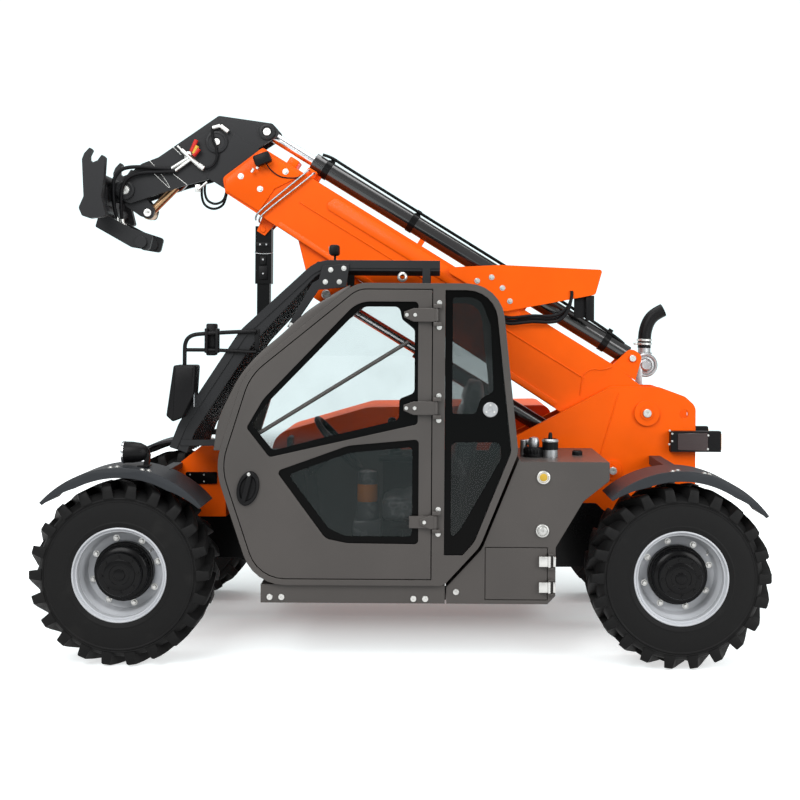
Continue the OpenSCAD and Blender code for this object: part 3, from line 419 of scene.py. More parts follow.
def rounded(corners, steps=6):
    """Points of an outline given as (x, z, corner radius)."""
    points = []
    for i, (x, z, r) in enumerate(corners):
        here = Vector((x, z))
        back = (Vector(corners[i - 1][:2]) - here).normalized()
        ahead = (Vector(corners[(i + 1) % len(corners)][:2]) - here).normalized()
        if r == 0:
            points.append(here)
            continue
        half = back.angle(ahead) / 2
        centre = here + (back + ahead).normalized() * (r / math.sin(half))
        first = here + back * (r / math.tan(half)) - centre
        last = here + ahead * (r / math.tan(half)) - centre
        start = math.atan2(first.y, first.x)
        sweep = (math.atan2(last.y, last.x) - start + math.pi) % math.tau - math.pi
        for k in range(steps + 1):
            swing = start + sweep * k / steps
            points.append(centre + Vector((math.cos(swing), math.sin(swing))) * r)
    return points


def along_boom(u, v, y):
    """A point given along the boom, square to it, and across from its middle plane."""
    cos, sin = math.cos(BOOM_TILT), math.sin(BOOM_TILT)
    return PIVOT + Vector((v * sin - u * cos, y, u * sin + v * cos))


def boom_frame(u, v, y):
    """The frame at such a point: X along the boom, Y across and Z square to it."""
    turn = Matrix.Rotation(BOOM_TILT, 4, "Y") @ Matrix.Rotation(math.pi, 4, "Z")
    return Matrix.Translation(along_boom(u, v, y)) @ turn


def placed(name, data):
    """A new object with that data, linked to the scene."""
    made = bpy.data.objects.new(name, data)
    bpy.context.scene.collection.objects.link(made)
    return made


def piece(name, bm, body, finish, smooth=30):
    """A finished mesh: doubles merged, faces outwards, its finish on, and riding on its body."""
    bmesh.ops.remove_doubles(bm, verts=bm.verts, dist=1e-5)
    bmesh.ops.recalc_face_normals(bm, faces=bm.faces)
    mesh = bpy.data.meshes.new(name)
    bm.to_mesh(mesh)
    bm.free()
    made = placed(name, mesh)
    mesh.materials.append(FINISHES[finish])
    mesh.shade_smooth()
    mesh.set_sharp_from_angle(angle=math.radians(smooth))
    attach(made, body)
    return made


def pull(bm, faces, vector):
    """Extrudes faces along a vector and gives back the new faces."""
    made = bmesh.ops.extrude_face_region(bm, geom=faces)["geom"]
    bmesh.ops.translate(bm, verts=[g for g in made if isinstance(g, bmesh.types.BMVert)], vec=vector)
    return [g for g in made if isinstance(g, bmesh.types.BMFace)]


def ease(bm, edges, width, segments=2):
    """Bevels edges."""
    bmesh.ops.bevel(bm, geom=edges, offset=width, segments=segments, profile=0.5, affect="EDGES",
                    material=-1)


def sharp(bm, limit=30.0):
    """The edges where two faces meet at more than the limit."""
    return [e for e in bm.edges if len(e.link_faces) == 2 and e.calc_face_angle(0) > math.radians(limit)]


def slab(bm, outline, y0, y1):
    """A plate with an outline in X and Z, from y0 to y1."""
    face = bm.faces.new([bm.verts.new((p[0], y0, p[1])) for p in outline])
    pull(bm, [face], (0, y1 - y0, 0))


def holed(bm, loops, y0, y1):
    """A plate with holes: the first outline is its rim, the others are its holes."""
    edges = []
    for loop in loops:
        verts = [bm.verts.new((p[0], y0, p[1])) for p in loop]
        edges += [bm.edges.new((verts[i - 1], verts[i])) for i in range(len(verts))]
    fill = bmesh.ops.triangle_fill(bm, edges=edges, use_beauty=True, use_dissolve=False)["geom"]
    pull(bm, [g for g in fill if isinstance(g, bmesh.types.BMFace)], (0, y1 - y0, 0))


def move_new(bm, start, matrix):
    """Moves the vertices that were added since there were that many."""
    bm.verts.ensure_lookup_table()
    bmesh.ops.transform(bm, matrix=matrix, verts=bm.verts[start:])


def block(bm, low, high, width, matrix=None):
    """A box with eased edges between two corners."""
    low, high = Vector(low), Vector(high)
    middle = Matrix.Translation((low + high) / 2) @ Matrix.Diagonal((*(high - low), 1))
    verts = bmesh.ops.create_cube(bm, size=1.0, matrix=(matrix or Matrix()) @ middle)["verts"]
    ease(bm, list({e for v in verts for e in v.link_edges}), width)


def turned(bm, profile, matrix, steps=48):
    """A shape turned about the Z axis of a matrix, from points of radius and height."""
    verts = [bm.verts.new((r, 0, h)) for r, h in profile]
    edges = [bm.edges.new(pair) for pair in zip(verts, verts[1:])]
    bmesh.ops.spin(bm, geom=verts + edges, cent=(0, 0, 0), axis=UP, dvec=(0, 0, 0),
                   angle=math.tau, steps=steps, use_merge=True, use_duplicate=False)
    bmesh.ops.transform(bm, matrix=matrix, verts=list(joined_to(verts[0])))


def joined_to(start):
    """Every vertex that edges join to this one, with itself."""
    seen, queue = {start}, [start]
    while queue:
        for edge in queue.pop().link_edges:
            for vert in edge.verts:
                if vert not in seen:
                    seen.add(vert)
                    queue.append(vert)
    return seen


def facing(point, direction):
    """A matrix at a point whose Z axis points that way."""
    return Matrix.Translation(point) @ Vector(direction).to_track_quat("Z", "Y").to_matrix().to_4x4()


def bolt(bm, point, direction, radius, height, washer=True):
    """A hexagon head on a washer."""
    at = facing(point, direction)
    if washer:
        turned(bm, [(0, 0), (radius * 1.45, 0), (radius * 1.45, height * 0.3), (0, height * 0.3)], at, 20)
    seat = at @ Matrix.Translation((0, 0, height * (0.65 if washer else 0.5)))
    verts = bmesh.ops.create_cone(bm, cap_ends=True, segments=6, radius1=radius, radius2=radius,
                                  depth=height, matrix=seat)["verts"]
    ease(bm, [e for e in {e for v in verts for e in v.link_edges} if e.is_valid], radius * 0.12, 1)


def round_curve(name, points, radius, kind, rings):
    """A curve with a round section, that runs along points."""
    curve = bpy.data.curves.new(name, "CURVE")
    curve.dimensions = "3D"
    curve.bevel_depth = radius
    curve.bevel_resolution = rings
    curve.use_fill_caps = True
    spline = curve.splines.new(kind)
    spline.points.add(len(points) - 1)
    for knot, point in zip(spline.points, points):
        knot.co = (*point, 1)
    if kind == "NURBS":
        spline.order_u = 3
        spline.use_endpoint_u = True
        spline.resolution_u = 8
    return placed(name, curve)


def bolt_circle(bm, count, first, radius, level, *head):
    """Bolts evenly round the Z axis, with the first one that share of the pitch from the X axis."""
    for i in range(count):
        swing = math.tau * (i + first) / count
        bolt(bm, (radius * math.cos(swing), radius * math.sin(swing), level), UP, *head)


def tube(name, points, radius, body, finish, rings=3):
    """A bent pipe or bead along points, as a smooth curve with a round section."""
    made = round_curve(name, points, radius, "NURBS", rings)
    made.data.materials.append(FINISHES[finish])
    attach(made, body)
    return made


class TELE_OT_paint_frame(bpy.types.Operator):
    """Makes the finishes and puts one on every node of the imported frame"""

    bl_idname = "tele.paint_frame"
    bl_label = "Paint the frame"

    def execute(self, context):
        make_finishes(context.scene.tele_looks)
        for finish, names in NODE_FINISH.items():
            for name in names:
                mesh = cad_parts[name].data
                mesh.materials.clear()
                mesh.materials.append(FINISHES[finish])
        return {"FINISHED"}


LUG_LINE = [
    # share of the length, offset from the middle, turn in degrees, tip radius, foot radius, width
    (0.00, 0.172, 0.0, 0.421, 0.385, 1.00),
    (0.08, 0.166, 0.0, 0.450, 0.390, 1.00),
    (0.22, 0.146, 0.6, 0.4575, 0.404, 0.98),
    (0.48, 0.095, 3.6, 0.460, 0.416, 0.94),
    (0.76, 0.040, 8.0, 0.460, 0.418, 0.88),
    (1.00, -0.014, 12.5, 0.460, 0.418, 0.80),
]


def lug_station(share):
    """The line of a lug at a share of its length."""
    for a, b in zip(LUG_LINE, LUG_LINE[1:]):
        if share <= b[0] + 1e-6:
            t = (share - a[0]) / (b[0] - a[0])
            return [p + (q - p) * t for p, q in zip(a, b)]
    return LUG_LINE[-1]


def add_lug(bm, look):
    """One lug, bent from a subdivided bar, from the shoulder to just past the middle."""
    verts = bmesh.ops.create_cube(bm, size=1.0)["verts"]
    long_edges = [e for e in {e for v in verts for e in v.link_edges}
                  if abs(e.verts[0].co.x - e.verts[1].co.x) > 0.5]
    bmesh.ops.subdivide_edges(bm, edges=long_edges, cuts=5, use_grid_fill=True)
    shares = [s[0] for s in LUG_LINE]
    for vert in bm.verts:
        share = vert.co.x + 0.5
        if abs(vert.co.x) < 0.499:
            share = shares[round(share * (len(shares) - 1))]
        _, across, turn, tip, foot, width = lug_station(share)
        top = vert.co.z > 0
        radius = tip if top else foot
        swing = math.radians(turn) + vert.co.y * look.lug_width * width * (0.74 if top else 1.0) / radius
        vert.co = (radius * math.cos(swing), radius * math.sin(swing), across)
    bmesh.ops.recalc_face_normals(bm, faces=bm.faces)
    ease(bm, sharp(bm, 50), 0.0035, 1)


def add_tyre(bm, look):
    """Casing with its moulded rings, and both halves of the tread."""
    template = bmesh.new()
    add_lug(template, look)
    mesh = bpy.data.meshes.new("lug_template")
    template.to_mesh(mesh)
    template.free()
    pitch = math.tau / look.lug_count
    for half in (1, -1):
        for i in range(look.lug_count):
            start = len(bm.verts)
            bm.from_mesh(mesh)
            turn = Matrix.Rotation(pitch * (i + (0.0 if half > 0 else 0.5)), 4, "Z")
            move_new(bm, start, turn @ Matrix.Diagonal((1, 1, half, 1)))
    bpy.data.meshes.remove(mesh)
    side = [(0.2405, 0.150), (0.2405, 0.164), (0.247, 0.169), (0.258, 0.1705), (0.261, 0.1728),
            (0.266, 0.1728), (0.269, 0.1712), (0.300, 0.1735), (0.340, 0.1725), (0.366, 0.1690),
            (0.370, 0.1715), (0.375, 0.1715), (0.379, 0.1665), (0.384, 0.1685), (0.389, 0.1670),
            (0.393, 0.1610), (0.404, 0.1500), (0.415, 0.1250), (0.421, 0.0800)]
    back = [(r, -h) for r, h in reversed(side)]
    outline = [(0.227, 0.149), *side, (0.422, 0.0), *back, (0.227, -0.149)]
    turned(bm, outline + outline[:1], Matrix(), 88)


def add_rim(bm):
    """Rim with a rolled lip, a stepped barrel and a dished disc."""
    turned(bm, [(0.2402, 0.1488), (0.2402, 0.160), (0.2385, 0.1655), (0.2345, 0.1675), (0.2305, 0.1660),
                (0.2285, 0.1600), (0.2255, 0.1500), (0.2215, 0.1250), (0.2150, 0.1020), (0.2070, 0.0860),
                (0.2010, 0.0780), (0.1985, 0.0600), (0.1960, 0.0360), (0.1900, 0.0240), (0.1800, 0.0200),
                (0.1560, 0.0190), (0.1160, 0.0185), (0.1155, 0.0040), (0.2020, 0.0030), (0.2020, -0.1600),
                (0.2400, -0.1610), (0.2400, -0.1490), (0.2162, -0.1490), (0.2162, 0.1488),
                (0.2402, 0.1488)], Matrix(), 96)


def add_hub(bm):
    """Planetary hub: drum, ribbed shoulder and a domed cover."""
    turned(bm, [(0.0, 0.004), (0.1150, 0.004), (0.1150, 0.0190), (0.151, 0.0195), (0.151, 0.058),
                (0.147, 0.063), (0.139, 0.064), (0.139, 0.092), (0.134, 0.098), (0.134, 0.112),
                (0.128, 0.118), (0.112, 0.122), (0.110, 0.146), (0.106, 0.152), (0.079, 0.153),
                (0.077, 0.1565), (0.072, 0.1585), (0.052, 0.1590), (0.050, 0.1555), (0.030, 0.1555),
                (0.028, 0.1600), (0.020, 0.1620), (0.0, 0.1625)], Matrix(), 72)


class TELE_OT_wheels(bpy.types.Operator):
    """Models the tyres, rims, hubs and their nuts at the four wheels"""

    bl_idname = "tele.wheels"
    bl_label = "Wheels"

    def execute(self, context):
        look = context.scene.tele_looks
        for wheel, (x, side) in WHEELS.items():
            outward = Matrix.Rotation(-side * math.pi / 2, 4, "X")
            at = Matrix.Translation((x, side * TRACK_HALF, AXLE_Z)) @ outward
            body = "wheel_" + wheel
            for kind, add, finish in (("tyre_", lambda bm: add_tyre(bm, look), "tyre"),
                                      ("rim_", add_rim, "rim"), ("hub_", add_hub, "black")):
                bm = bmesh.new()
                add(bm)
                bmesh.ops.transform(bm, matrix=at, verts=bm.verts)
                made = piece(kind + "dressed_" + wheel, bm, body, finish, 32)
                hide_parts(kind + wheel)
            self.nuts(at, body, wheel)
        return {"FINISHED"}

    def nuts(self, at, body, wheel):
        """Wheel nuts on the disc, cover screws on the hub and the valve."""
        bm = bmesh.new()
        bolt_circle(bm, 8, 0.35, 0.171, 0.0200, 0.0115, 0.014)
        turned(bm, [(0, 0), (0.006, 0), (0.006, 0.03), (0.004, 0.034), (0.004, 0.044), (0, 0.044)],
               facing((0.152, 0.119, 0.060), (-0.3, -0.2, 1)), 12)
        bmesh.ops.transform(bm, matrix=at, verts=bm.verts)
        piece("wheel_nuts_" + wheel, bm, body, "zinc")
        bm = bmesh.new()
        bolt_circle(bm, 8, 0.1, 0.092, 0.1525, 0.0075, 0.006, False)
        for i in range(24):
            turn = Matrix.Rotation(math.tau * i / 24, 4, "Z")
            block(bm, (0.126, -0.004, 0.066), (0.1405, 0.004, 0.092), 0.0015, turn)
        bmesh.ops.transform(bm, matrix=at, verts=bm.verts)
        piece("hub_screws_" + wheel, bm, body, "black")


UPPER_PANE = [(-.668, 1.050, .02), (.082, 1.222, .02), (.082, 1.842, .02), (-.225, 1.842, .15),
              (-.700, 1.345, .2), (-.785, 1.199, .02)]
UPPER_CLEAR = [(-.650, 1.084, .02), (-.441, 1.140, .3), (-.014, 1.243, .03), (-.012, 1.350, .02),
               (.064, 1.380, .03), (.064, 1.700, .03), (.0, 1.752, .02), (-.014, 1.816, .03),
               (-.205, 1.816, .09), (-.670, 1.335, .18), (-.758, 1.216, .02)]
LOWER_PANE = [(-.633, .980, .02), (-.380, .640, .06), (-.270, .618, .06), (.088, .615, .02),
              (.088, 1.146, .02), (-.270, 1.112, .2)]
LOWER_CLEAR = [(-.572, .962, .018), (-.366, .692, .07), (-.285, .654, .06), (.056, .652, .02),
               (.056, 1.106, .02), (-.265, 1.074, .2)]
QUARTER_PANE = [(.2185, .5605, .004), (.309, .5605, .01), (.369, .626, .16), (.553, 1.082, .084),
                (.467, 1.899, .153), (.2185, 1.899, .004)]
QUARTER_UPPER = [(.256, 1.275, .015), (.374, 1.275, .025), (.400, 1.352, .02), (.464, 1.390, .02),
                 (.450, 1.720, .06), (.395, 1.866, .08), (.256, 1.866, .015)]
QUARTER_LOWER = [(.252, .640, .012), (.300, .690, .1), (.506, 1.050, .05), (.500, 1.132, .03),
                 (.252, 1.132, .03)]


class TELE_OT_cab_glazing(bpy.types.Operator):
    """Models the black borders of the panes, their gaskets and the round catch"""

    bl_idname = "tele.cab_glazing"
    bl_label = "Cab glazing"

    def execute(self, context):
        front = CAB_FACE + 0.0115
        for name, pane_line, clear in (("upper", UPPER_PANE, [UPPER_CLEAR]),
                                       ("lower", LOWER_PANE, [LOWER_CLEAR]),
                                       ("quarter", QUARTER_PANE, [QUARTER_UPPER, QUARTER_LOWER])):
            bm = bmesh.new()
            holed(bm, [rounded(pane_line)] + [rounded(c) for c in clear], front, front - 0.001)
            body = "chassis" if name == "quarter" else "door"
            piece(name + "_pane_border", bm, body, "frit", 20)
            self.gasket(name, rounded(pane_line), body)
        self.catch()
        return {"FINISHED"}

    def gasket(self, name, outline, body):
        """A rubber strip where the pane meets its opening."""
        bm = bmesh.new()
        verts = [bm.verts.new((p[0], CAB_FACE + 0.011, p[1])) for p in outline]
        face = bm.faces.new(verts)
        ring = bmesh.ops.inset_region(bm, faces=[face], thickness=0.009, use_even_offset=True,
                                      use_boundary=True)["faces"]
        bmesh.ops.delete(bm, geom=[f for f in bm.faces if f not in ring], context="FACES_ONLY")
        pull(bm, list(bm.faces), (0, -0.006, 0))
        piece(name + "_gasket", bm, body, "gasket")

    def catch(self):
        """Round plate with three screws, where the quarter window's catch sits."""
        bm = bmesh.new()
        x, z = CATCH
        at = facing((x, CAB_FACE + 0.010, z), NEAR)
        turned(bm, [(0, 0), (.037, 0), (.038, .003), (.038, .006), (.034, .009), (.012, .010),
                    (.010, .007), (0, .007)], at, 40)
        piece("quarter_catch", bm, "chassis", "cast")
        bm = bmesh.new()
        for i in range(3):
            swing = math.tau * i / 3 + math.pi / 2
            place = (x + .023 * math.cos(swing), CAB_FACE + 0.001, z + .023 * math.sin(swing))
            bolt(bm, place, NEAR, 0.006, 0.004, False)
        piece("quarter_catch_screws", bm, "chassis", "zinc")


class TELE_OT_door_fittings(bpy.types.Operator):
    """Models the door's handle and the hinges, with the straps on the door and the blocks on the pillar"""

    bl_idname = "tele.door_fittings"
    bl_label = "Door fittings"

    def execute(self, context):
        self.handle()
        straps = bmesh.new()
        bolts = bmesh.new()
        blocks = bmesh.new()
        pillar_bolts = bmesh.new()
        for z in HINGE_HEIGHTS:
            low = z < 1
            left = .095 if low else .010
            outline = [(left, z - .012), (left + .05, z - .034), (.166, z - .034), (.166, z + .034),
                       (left + .05, z + .034), (left, z + .016)]
            slab(straps, outline, -.9265, -.9315)
            block(blocks, (.158, -.9335, z - .055), (.200, -.9235, z - .0355), .003)
            block(blocks, (.158, -.9335, z + .0355), (.200, -.9235, z + .055), .003)
            for x in ((.118,) if low else (.024, .066)):
                bolt(bolts, (x, -.9315, z), NEAR, .0105, .005, False)
            for up in (-.062, .062):
                bolt(pillar_bolts, (.188, CAB_FACE - .001, z + up), NEAR, .009, .007)
        ease(straps, sharp(straps, 60), .0015, 1)
        piece("hinge_straps", straps, "door", "cab")
        piece("hinge_bolts", bolts, "door", "zinc")
        piece("hinge_blocks", blocks, "chassis", "cab")
        piece("hinge_pillar_bolts", pillar_bolts, "chassis", "zinc")
        return {"FINISHED"}

    def handle(self):
        """Oval grip plate with a scooped recess and a raised pull."""
        bm = bmesh.new()
        tilt = Matrix.Rotation(math.radians(14), 4, "Y")
        at = Matrix.Translation((-.774, CAB_FACE, .893)) @ tilt
        oval = at @ Matrix.Diagonal((.62, 1, 1, 1)) @ Matrix.Rotation(math.pi / 2, 4, "X")
        turned(bm, [(0, .001), (.086, .001), (.089, .006), (.086, .013), (.078, .016), (.066, .014),
                    (.060, .004), (.0, .0025)], oval, 56)
        grip = [(-.010, -.070), (.010, -.070), (.013, -.03), (.013, .03), (.010, .070), (-.010, .070),
                (-.013, .03), (-.013, -.03)]
        start = len(bm.verts)
        slab(bm, grip, -.006, -.020)
        move_new(bm, start, at @ Matrix.Translation((-.006, 0, 0)))
        ease(bm, sharp(bm, 60), .002)
        piece("door_handle", bm, "door", "plastic", 35)
        bm = bmesh.new()
        turned(bm, [(0, 0), (.009, 0), (.009, .004), (.006, .005), (0, .005)],
               facing(at @ Vector((-.012, -.016, .072)), NEAR), 20)
        piece("door_lock", bm, "door", "zinc")


def smooth_line(points, steps=5):
    """A smooth line through points."""
    points = [Vector(p) for p in points]
    ends = [points[0] * 2 - points[1], *points, points[-1] * 2 - points[-2]]
    line = []
    for a, b, c, d in zip(ends, ends[1:], ends[2:], ends[3:]):
        for k in range(steps):
            t = k / steps
            square, cube = 2 * a - 5 * b + 4 * c - d, 3 * b - a - 3 * c + d
            line.append(0.5 * (2 * b + (c - a) * t + square * t * t + cube * t ** 3))
    return [*line, points[-1]]


def hose(name, points, radius, body, other=None, bend=None):
    """A free hose between two fittings; with a second body it is made a plain mesh in place, else it rides
    on its body.
    """
    line = smooth_line(points)
    made = round_curve(name, line, radius, "POLY", 4)
    made.data.materials.append(FINISHES["hose"])
    if other:
        mesh = bpy.data.meshes.new_from_object(made)
        bpy.data.objects.remove(made)
        made = placed(name, mesh)
        mesh.shade_smooth()
        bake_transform(made)
    else:
        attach(made, body)
    length = sum((b - a).length for a, b in zip(line, line[1:]))
    return made


def spot(px, py, y):
    """The place in a plane across the machine that the photograph shows at a pixel."""
    scale = PIXEL_GROWTH * (y - CAMERA[1])
    right = px - FACED_PIXEL[0]
    down = py - CAMERA_ROLL * (px - MIDDLE_PIXEL) - FACED_PIXEL[1]
    return Vector((right * scale + CAMERA[0], y, CAMERA[2] - down * scale))


def places(pixels, y):
    """The places of several pixels in one such plane."""
    return [spot(px, py, y) for px, py in pixels]


def spot_block(bm, corners, y0, y1, width):
    """An eased box from the pixel of one corner, at y0, to the pixel of the other, at y1."""
    block(bm, spot(*corners[0], y0), spot(*corners[1], y1), width)


def peg(bm, start, end, radius, steps=20):
    """A short round bar with eased ends between two points."""
    start, end = Vector(start), Vector(end)
    long = (end - start).length
    lip = min(radius * 0.15, long * 0.2)
    turned(bm, [(0, 0), (radius - lip, 0), (radius, lip), (radius, long - lip), (radius - lip, long),
                (0, long)], facing(start, end - start), steps)


def cap(bm, point, radius, height=0.008):
    """A pin's end cap, facing the cab side, with its centre screw."""
    turned(bm, [(0, 0), (radius, 0), (radius, height * 0.7), (radius * 0.9, height),
                (radius * 0.32, height), (radius * 0.28, height * 0.5), (0, height * 0.5)],
           facing(point, NEAR), 32)


class TELE_OT_boom_dressing(bpy.types.Operator):
    """Models the boom's doubler plates, weld beads, pipes, bolts, work light, hoses and prop fittings"""

    bl_idname = "tele.boom_dressing"
    bl_label = "Boom dressing"

    def execute(self, context):
        face = -BOOM_HALF
        self.plates(face)
        self.pipes(face)
        self.bolts(face)
        self.light()
        self.guard_hoses(context.scene.tele_looks)
        self.prop()
        return {"FINISHED"}

    def plates(self, face):
        """The front doubler on both sides, the long top panel and the lower edge strips."""
        bm = bmesh.new()
        doubler = [(2.728, -.128, .012), (2.640, .118, .02), (2.372, .118, .012), (2.463, -.030, .02),
                   (2.470, -.186, .01), (2.692, -.186, .012)]
        panel = [(.93, .030, .03), (2.18, .030, .03), (2.14, .112, .03), (.86, .112, .03)]
        strip = [(.46, -.246, 0), (2.34, -.202, 0), (2.34, -.168, .01), (.46, -.212, .01)]
        for outline, thick in ((doubler, .008), (panel, .006), (strip, .007)):
            for side in (-1, 1):
                start = len(bm.verts)
                slab(bm, rounded(outline), 0, thick)
                near = -BOOM_HALF - thick if side < 0 else BOOM_HALF
                move_new(bm, start, boom_frame(0, 0, near) @ Matrix.Diagonal((1, -1, 1, 1)))
        bmesh.ops.recalc_face_normals(bm, faces=bm.faces)
        ease(bm, sharp(bm, 60), .002)
        piece("boom_doublers", bm, "boom_outer", "orange")
        for i, line in enumerate(([(.40, -.018), (1.2, -.018), (2.30, -.018)],
                                  [(.300, .120), (.335, .075), (.390, .055), (.418, .004), (.40, -.05),
                                   (.37, -.11)])):
            tube("boom_weld_%d" % i, [along_boom(u, v, face - .001) for u, v in line], .004, "boom_outer",
                 "orange", 2)

    def pipes(self, face):
        """Two steel pipes bent round the front end, and the thin one along the extension cylinder."""
        for i, (low, high) in enumerate((((2.470, -.180), (2.356, .150)),
                                         ((2.446, -.186), (2.322, .146)))):
            line = [along_boom(low[0], -.235, -.06), along_boom(low[0], -.228, face - .012),
                    along_boom(*low, face - .016), along_boom(*high, face - .016),
                    along_boom(high[0], .166, face - .010), along_boom(high[0], .168, -.05)]
            tube("steel_pipe_%d" % i, line, .0055, "boom_outer", "cast")
        line = [along_boom(2.345, .286, -.02), along_boom(2.30, .300, -.02), along_boom(2.22, .296, -.02),
                along_boom(1.3, .294, -.02), along_boom(.36, .292, -.02), along_boom(.30, .272, -.02)]
        tube("cylinder_pipe", line, .009, "boom_outer", "black")
        lengthwise = Matrix.Rotation(BOOM_TILT, 4, "Y") @ Matrix.Rotation(-math.pi / 2, 4, "Y")
        bm = bmesh.new()
        for u in (.40, 1.05, 1.70, 2.28):
            at = Matrix.Translation(along_boom(u, .225, 0)) @ lengthwise
            turned(bm, [(.0545, -.02), (.0585, -.018), (.0585, .018), (.0545, .02)], at, 40)
            block(bm, (-.014, -.030, .05), (.014, -.010, .084), .002, boom_frame(u, .225, 0))
        piece("cylinder_clamps", bm, "boom_outer", "black")

    def bolts(self, face):
        """Pale bolts on the doubler and the hose guard, and caps on the pins."""
        bm = bmesh.new()
        for u, v in ((2.663, -.069), (2.461, .087), (2.532, -.073)):
            bolt(bm, along_boom(u, v, face - .008), NEAR, .012, .008)
        for place in places(GUARD_BOLTS_PX, -.098):
            bolt(bm, place, NEAR, .011, .008)
        cap(bm, along_boom(.222, .225, -.086), .019)
        cap(bm, along_boom(1.900, -.385, -.098), .026)
        piece("boom_bolts", bm, "boom_outer", "zinc")
        bm = bmesh.new()
        for u in (2.34, 2.46):
            block(bm, (-.03, -.075, 0), (.03, .075, .05), .006, boom_frame(u, .130, 0))
        piece("boom_top_lugs", bm, "boom_outer", "orange")

    def light(self):
        """The black work light on the boom's front end."""
        bm = bmesh.new()
        at = boom_frame(2.603, .077, -.158) @ Matrix.Rotation(math.radians(-38), 4, "Y")
        block(bm, (-.032, -.026, -.048), (.032, .030, .048), .012, at)
        for i in range(4):
            block(bm, (-.030, -.034, -.036 + i * .022), (.030, -.024, -.030 + i * .022), .002, at)
        lamp = piece("boom_light", bm, "boom_outer", "plastic", 35)
        bm = bmesh.new()
        peg(bm, along_boom(2.603, .02, -.118), along_boom(2.603, .02, -.158), .008)
        peg(bm, along_boom(2.618, .006, -.150), along_boom(2.618, -.020, -.150), .009)
        piece("boom_light_bolt", bm, "boom_outer", "zinc")
        line = [along_boom(2.36, .122, -.119), along_boom(2.40, .082, -.121),
                along_boom(2.47, .048, -.122), along_boom(2.54, .052, -.128),
                along_boom(2.58, .072, -.150)]
        hose("boom_light_wire", line, .0035, "boom_outer")

    def prop(self):
        """Latch, cover plate, screws and wire ring on the near side of the safety prop."""
        low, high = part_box("boom_prop")
        at = Matrix.Translation(((low[0] + high[0]) / 2, low[1], high[2]))
        bm = bmesh.new()
        block(bm, (-.046, -.004, -.118), (.046, 0, -.092), .0015, at)
        block(bm, (-.018, -.011, -.222), (.018, 0, -.174), .003, at)
        block(bm, (-.026, -.007, -.306), (.026, 0, -.228), .003, at)
        piece("prop_plates", bm, "boom_outer", "plastic")
        bm = bmesh.new()
        for x, y, z in ((-.018, -.004, -.105), (.018, -.004, -.105), (0, -.011, -.192),
                        (0, -.007, -.272)):
            bolt(bm, at @ Vector((x, y, z)), NEAR, .006, .004, False)
        piece("prop_screws", bm, "boom_outer", "cast")
        ring = [(-.050, .040, -.146), (-.050, -.002, -.150), (-.034, -.007, -.158), (.034, -.007, -.160),
                (.050, -.002, -.152), (.050, .040, -.147)]
        tube("prop_wire", [at @ Vector(p) for p in ring], .0028, "boom_outer", "cast")

    def guard_hoses(self, look):
        """Hoses that pass under the guard plate, and the bracket behind them."""
        for i, (drop, y) in enumerate(((0, -.086), (6, -.104), (3, -.070))):
            line = [spot(px, py + drop * share, y) for px, py, share in GUARD_HOSE_PX]
            hose("guard_hose_%d" % i, line, look.hose_radius * .82, "boom_outer")
        bm = bmesh.new()
        spot_block(bm, GUARD_BRACKET_PX, -.09, -.05, .004)
        spot_block(bm, GUARD_STAY_PX, -.066, -.060, .002)
        piece("guard_bracket", bm, "boom_outer", "plastic")


class TELE_OT_head_dressing(bpy.types.Operator):
    """Models the pins, couplers and hoses of the boom's head and the carriage"""

    bl_idname = "tele.head_dressing"
    bl_label = "Head dressing"

    def execute(self, context):
        look = context.scene.tele_looks
        face = -.048
        bm = bmesh.new()
        for u, v, r, _ in HEAD_PINS:
            cap(bm, along_boom(u, v, -.096), r)
        piece("head_caps", bm, "boom_inner", "zinc")
        bm = bmesh.new()
        for u, v, _, r in HEAD_PINS:
            turned(bm, [(.026, 0), (r, 0), (r, .006), (r - .006, .009), (r - .014, .009),
                        (r - .018, .006), (.026, .006)], facing(along_boom(u, v, -.0945), NEAR), 44)
        piece("head_rings", bm, "boom_inner", "head")
        bm = bmesh.new()
        cap(bm, along_boom(3.017, -.527, -.068), .022, .001)
        piece("carriage_caps", bm, "carriage", "zinc")
        self.coupler(face)
        self.hoses(look)
        self.edges(face)
        return {"FINISHED"}

    def coupler(self, face):
        """The quick couplers with their pale bodies and coloured levers."""
        y = face - .022
        bm = bmesh.new()
        for start, end, r in COUPLER_BARS_PX:
            peg(bm, spot(*start, y), spot(*end, y), r, 16)
        spot_block(bm, COUPLER_BODY_PX, y - .004, y + .016, .004)
        spot_block(bm, COUPLER_FOOT_PX, y + .01, y + .03, .003)
        piece("coupler_bodies", bm, "boom_inner", "zinc", 35)
        for name, (finish, start, end) in COUPLER_LEVERS_PX.items():
            bm = bmesh.new()
            peg(bm, spot(*start, y - .014), spot(*end, y - .014), .012, 16)
            piece(name, bm, "boom_inner", finish, 35)

    def hoses(self, look):
        """Hoses on the head; the two front ones bend over to the carriage's couplings."""
        r = look.hose_radius
        y = -.070
        for name, (line, behind) in HEAD_HOSES_PX.items():
            hose(name, places(line, y + behind), r * .64, "boom_inner")
        for name, line in FRONT_HOSES_PX.items():
            route = [spot(px, py, y - .004 + max(0, py - FRONT_SWERVE_PX) * .0012) for px, py in line]
            hose(name, route, r, "boom_inner", "carriage", places(FRONT_BEND_PX, y))
        bm = bmesh.new()
        for line in FRONT_HOSES_PX.values():
            px, py = line[-1]
            peg(bm, spot(px, py - 2, y + .026), spot(px + 1, py + 6, y + .030), .013, 14)
        spot_block(bm, CARRIAGE_BLOCK_PX, y + .015, y + .050, .004)
        piece("carriage_couplings", bm, "carriage", "zinc", 35)

    def edges(self, face):
        """The pale lines across the head's side."""
        for i, line in enumerate(HEAD_LINES_PX):
            tube("head_weld_%d" % i, places(line, face - .001), .0022, "boom_inner", "zinc", 1)


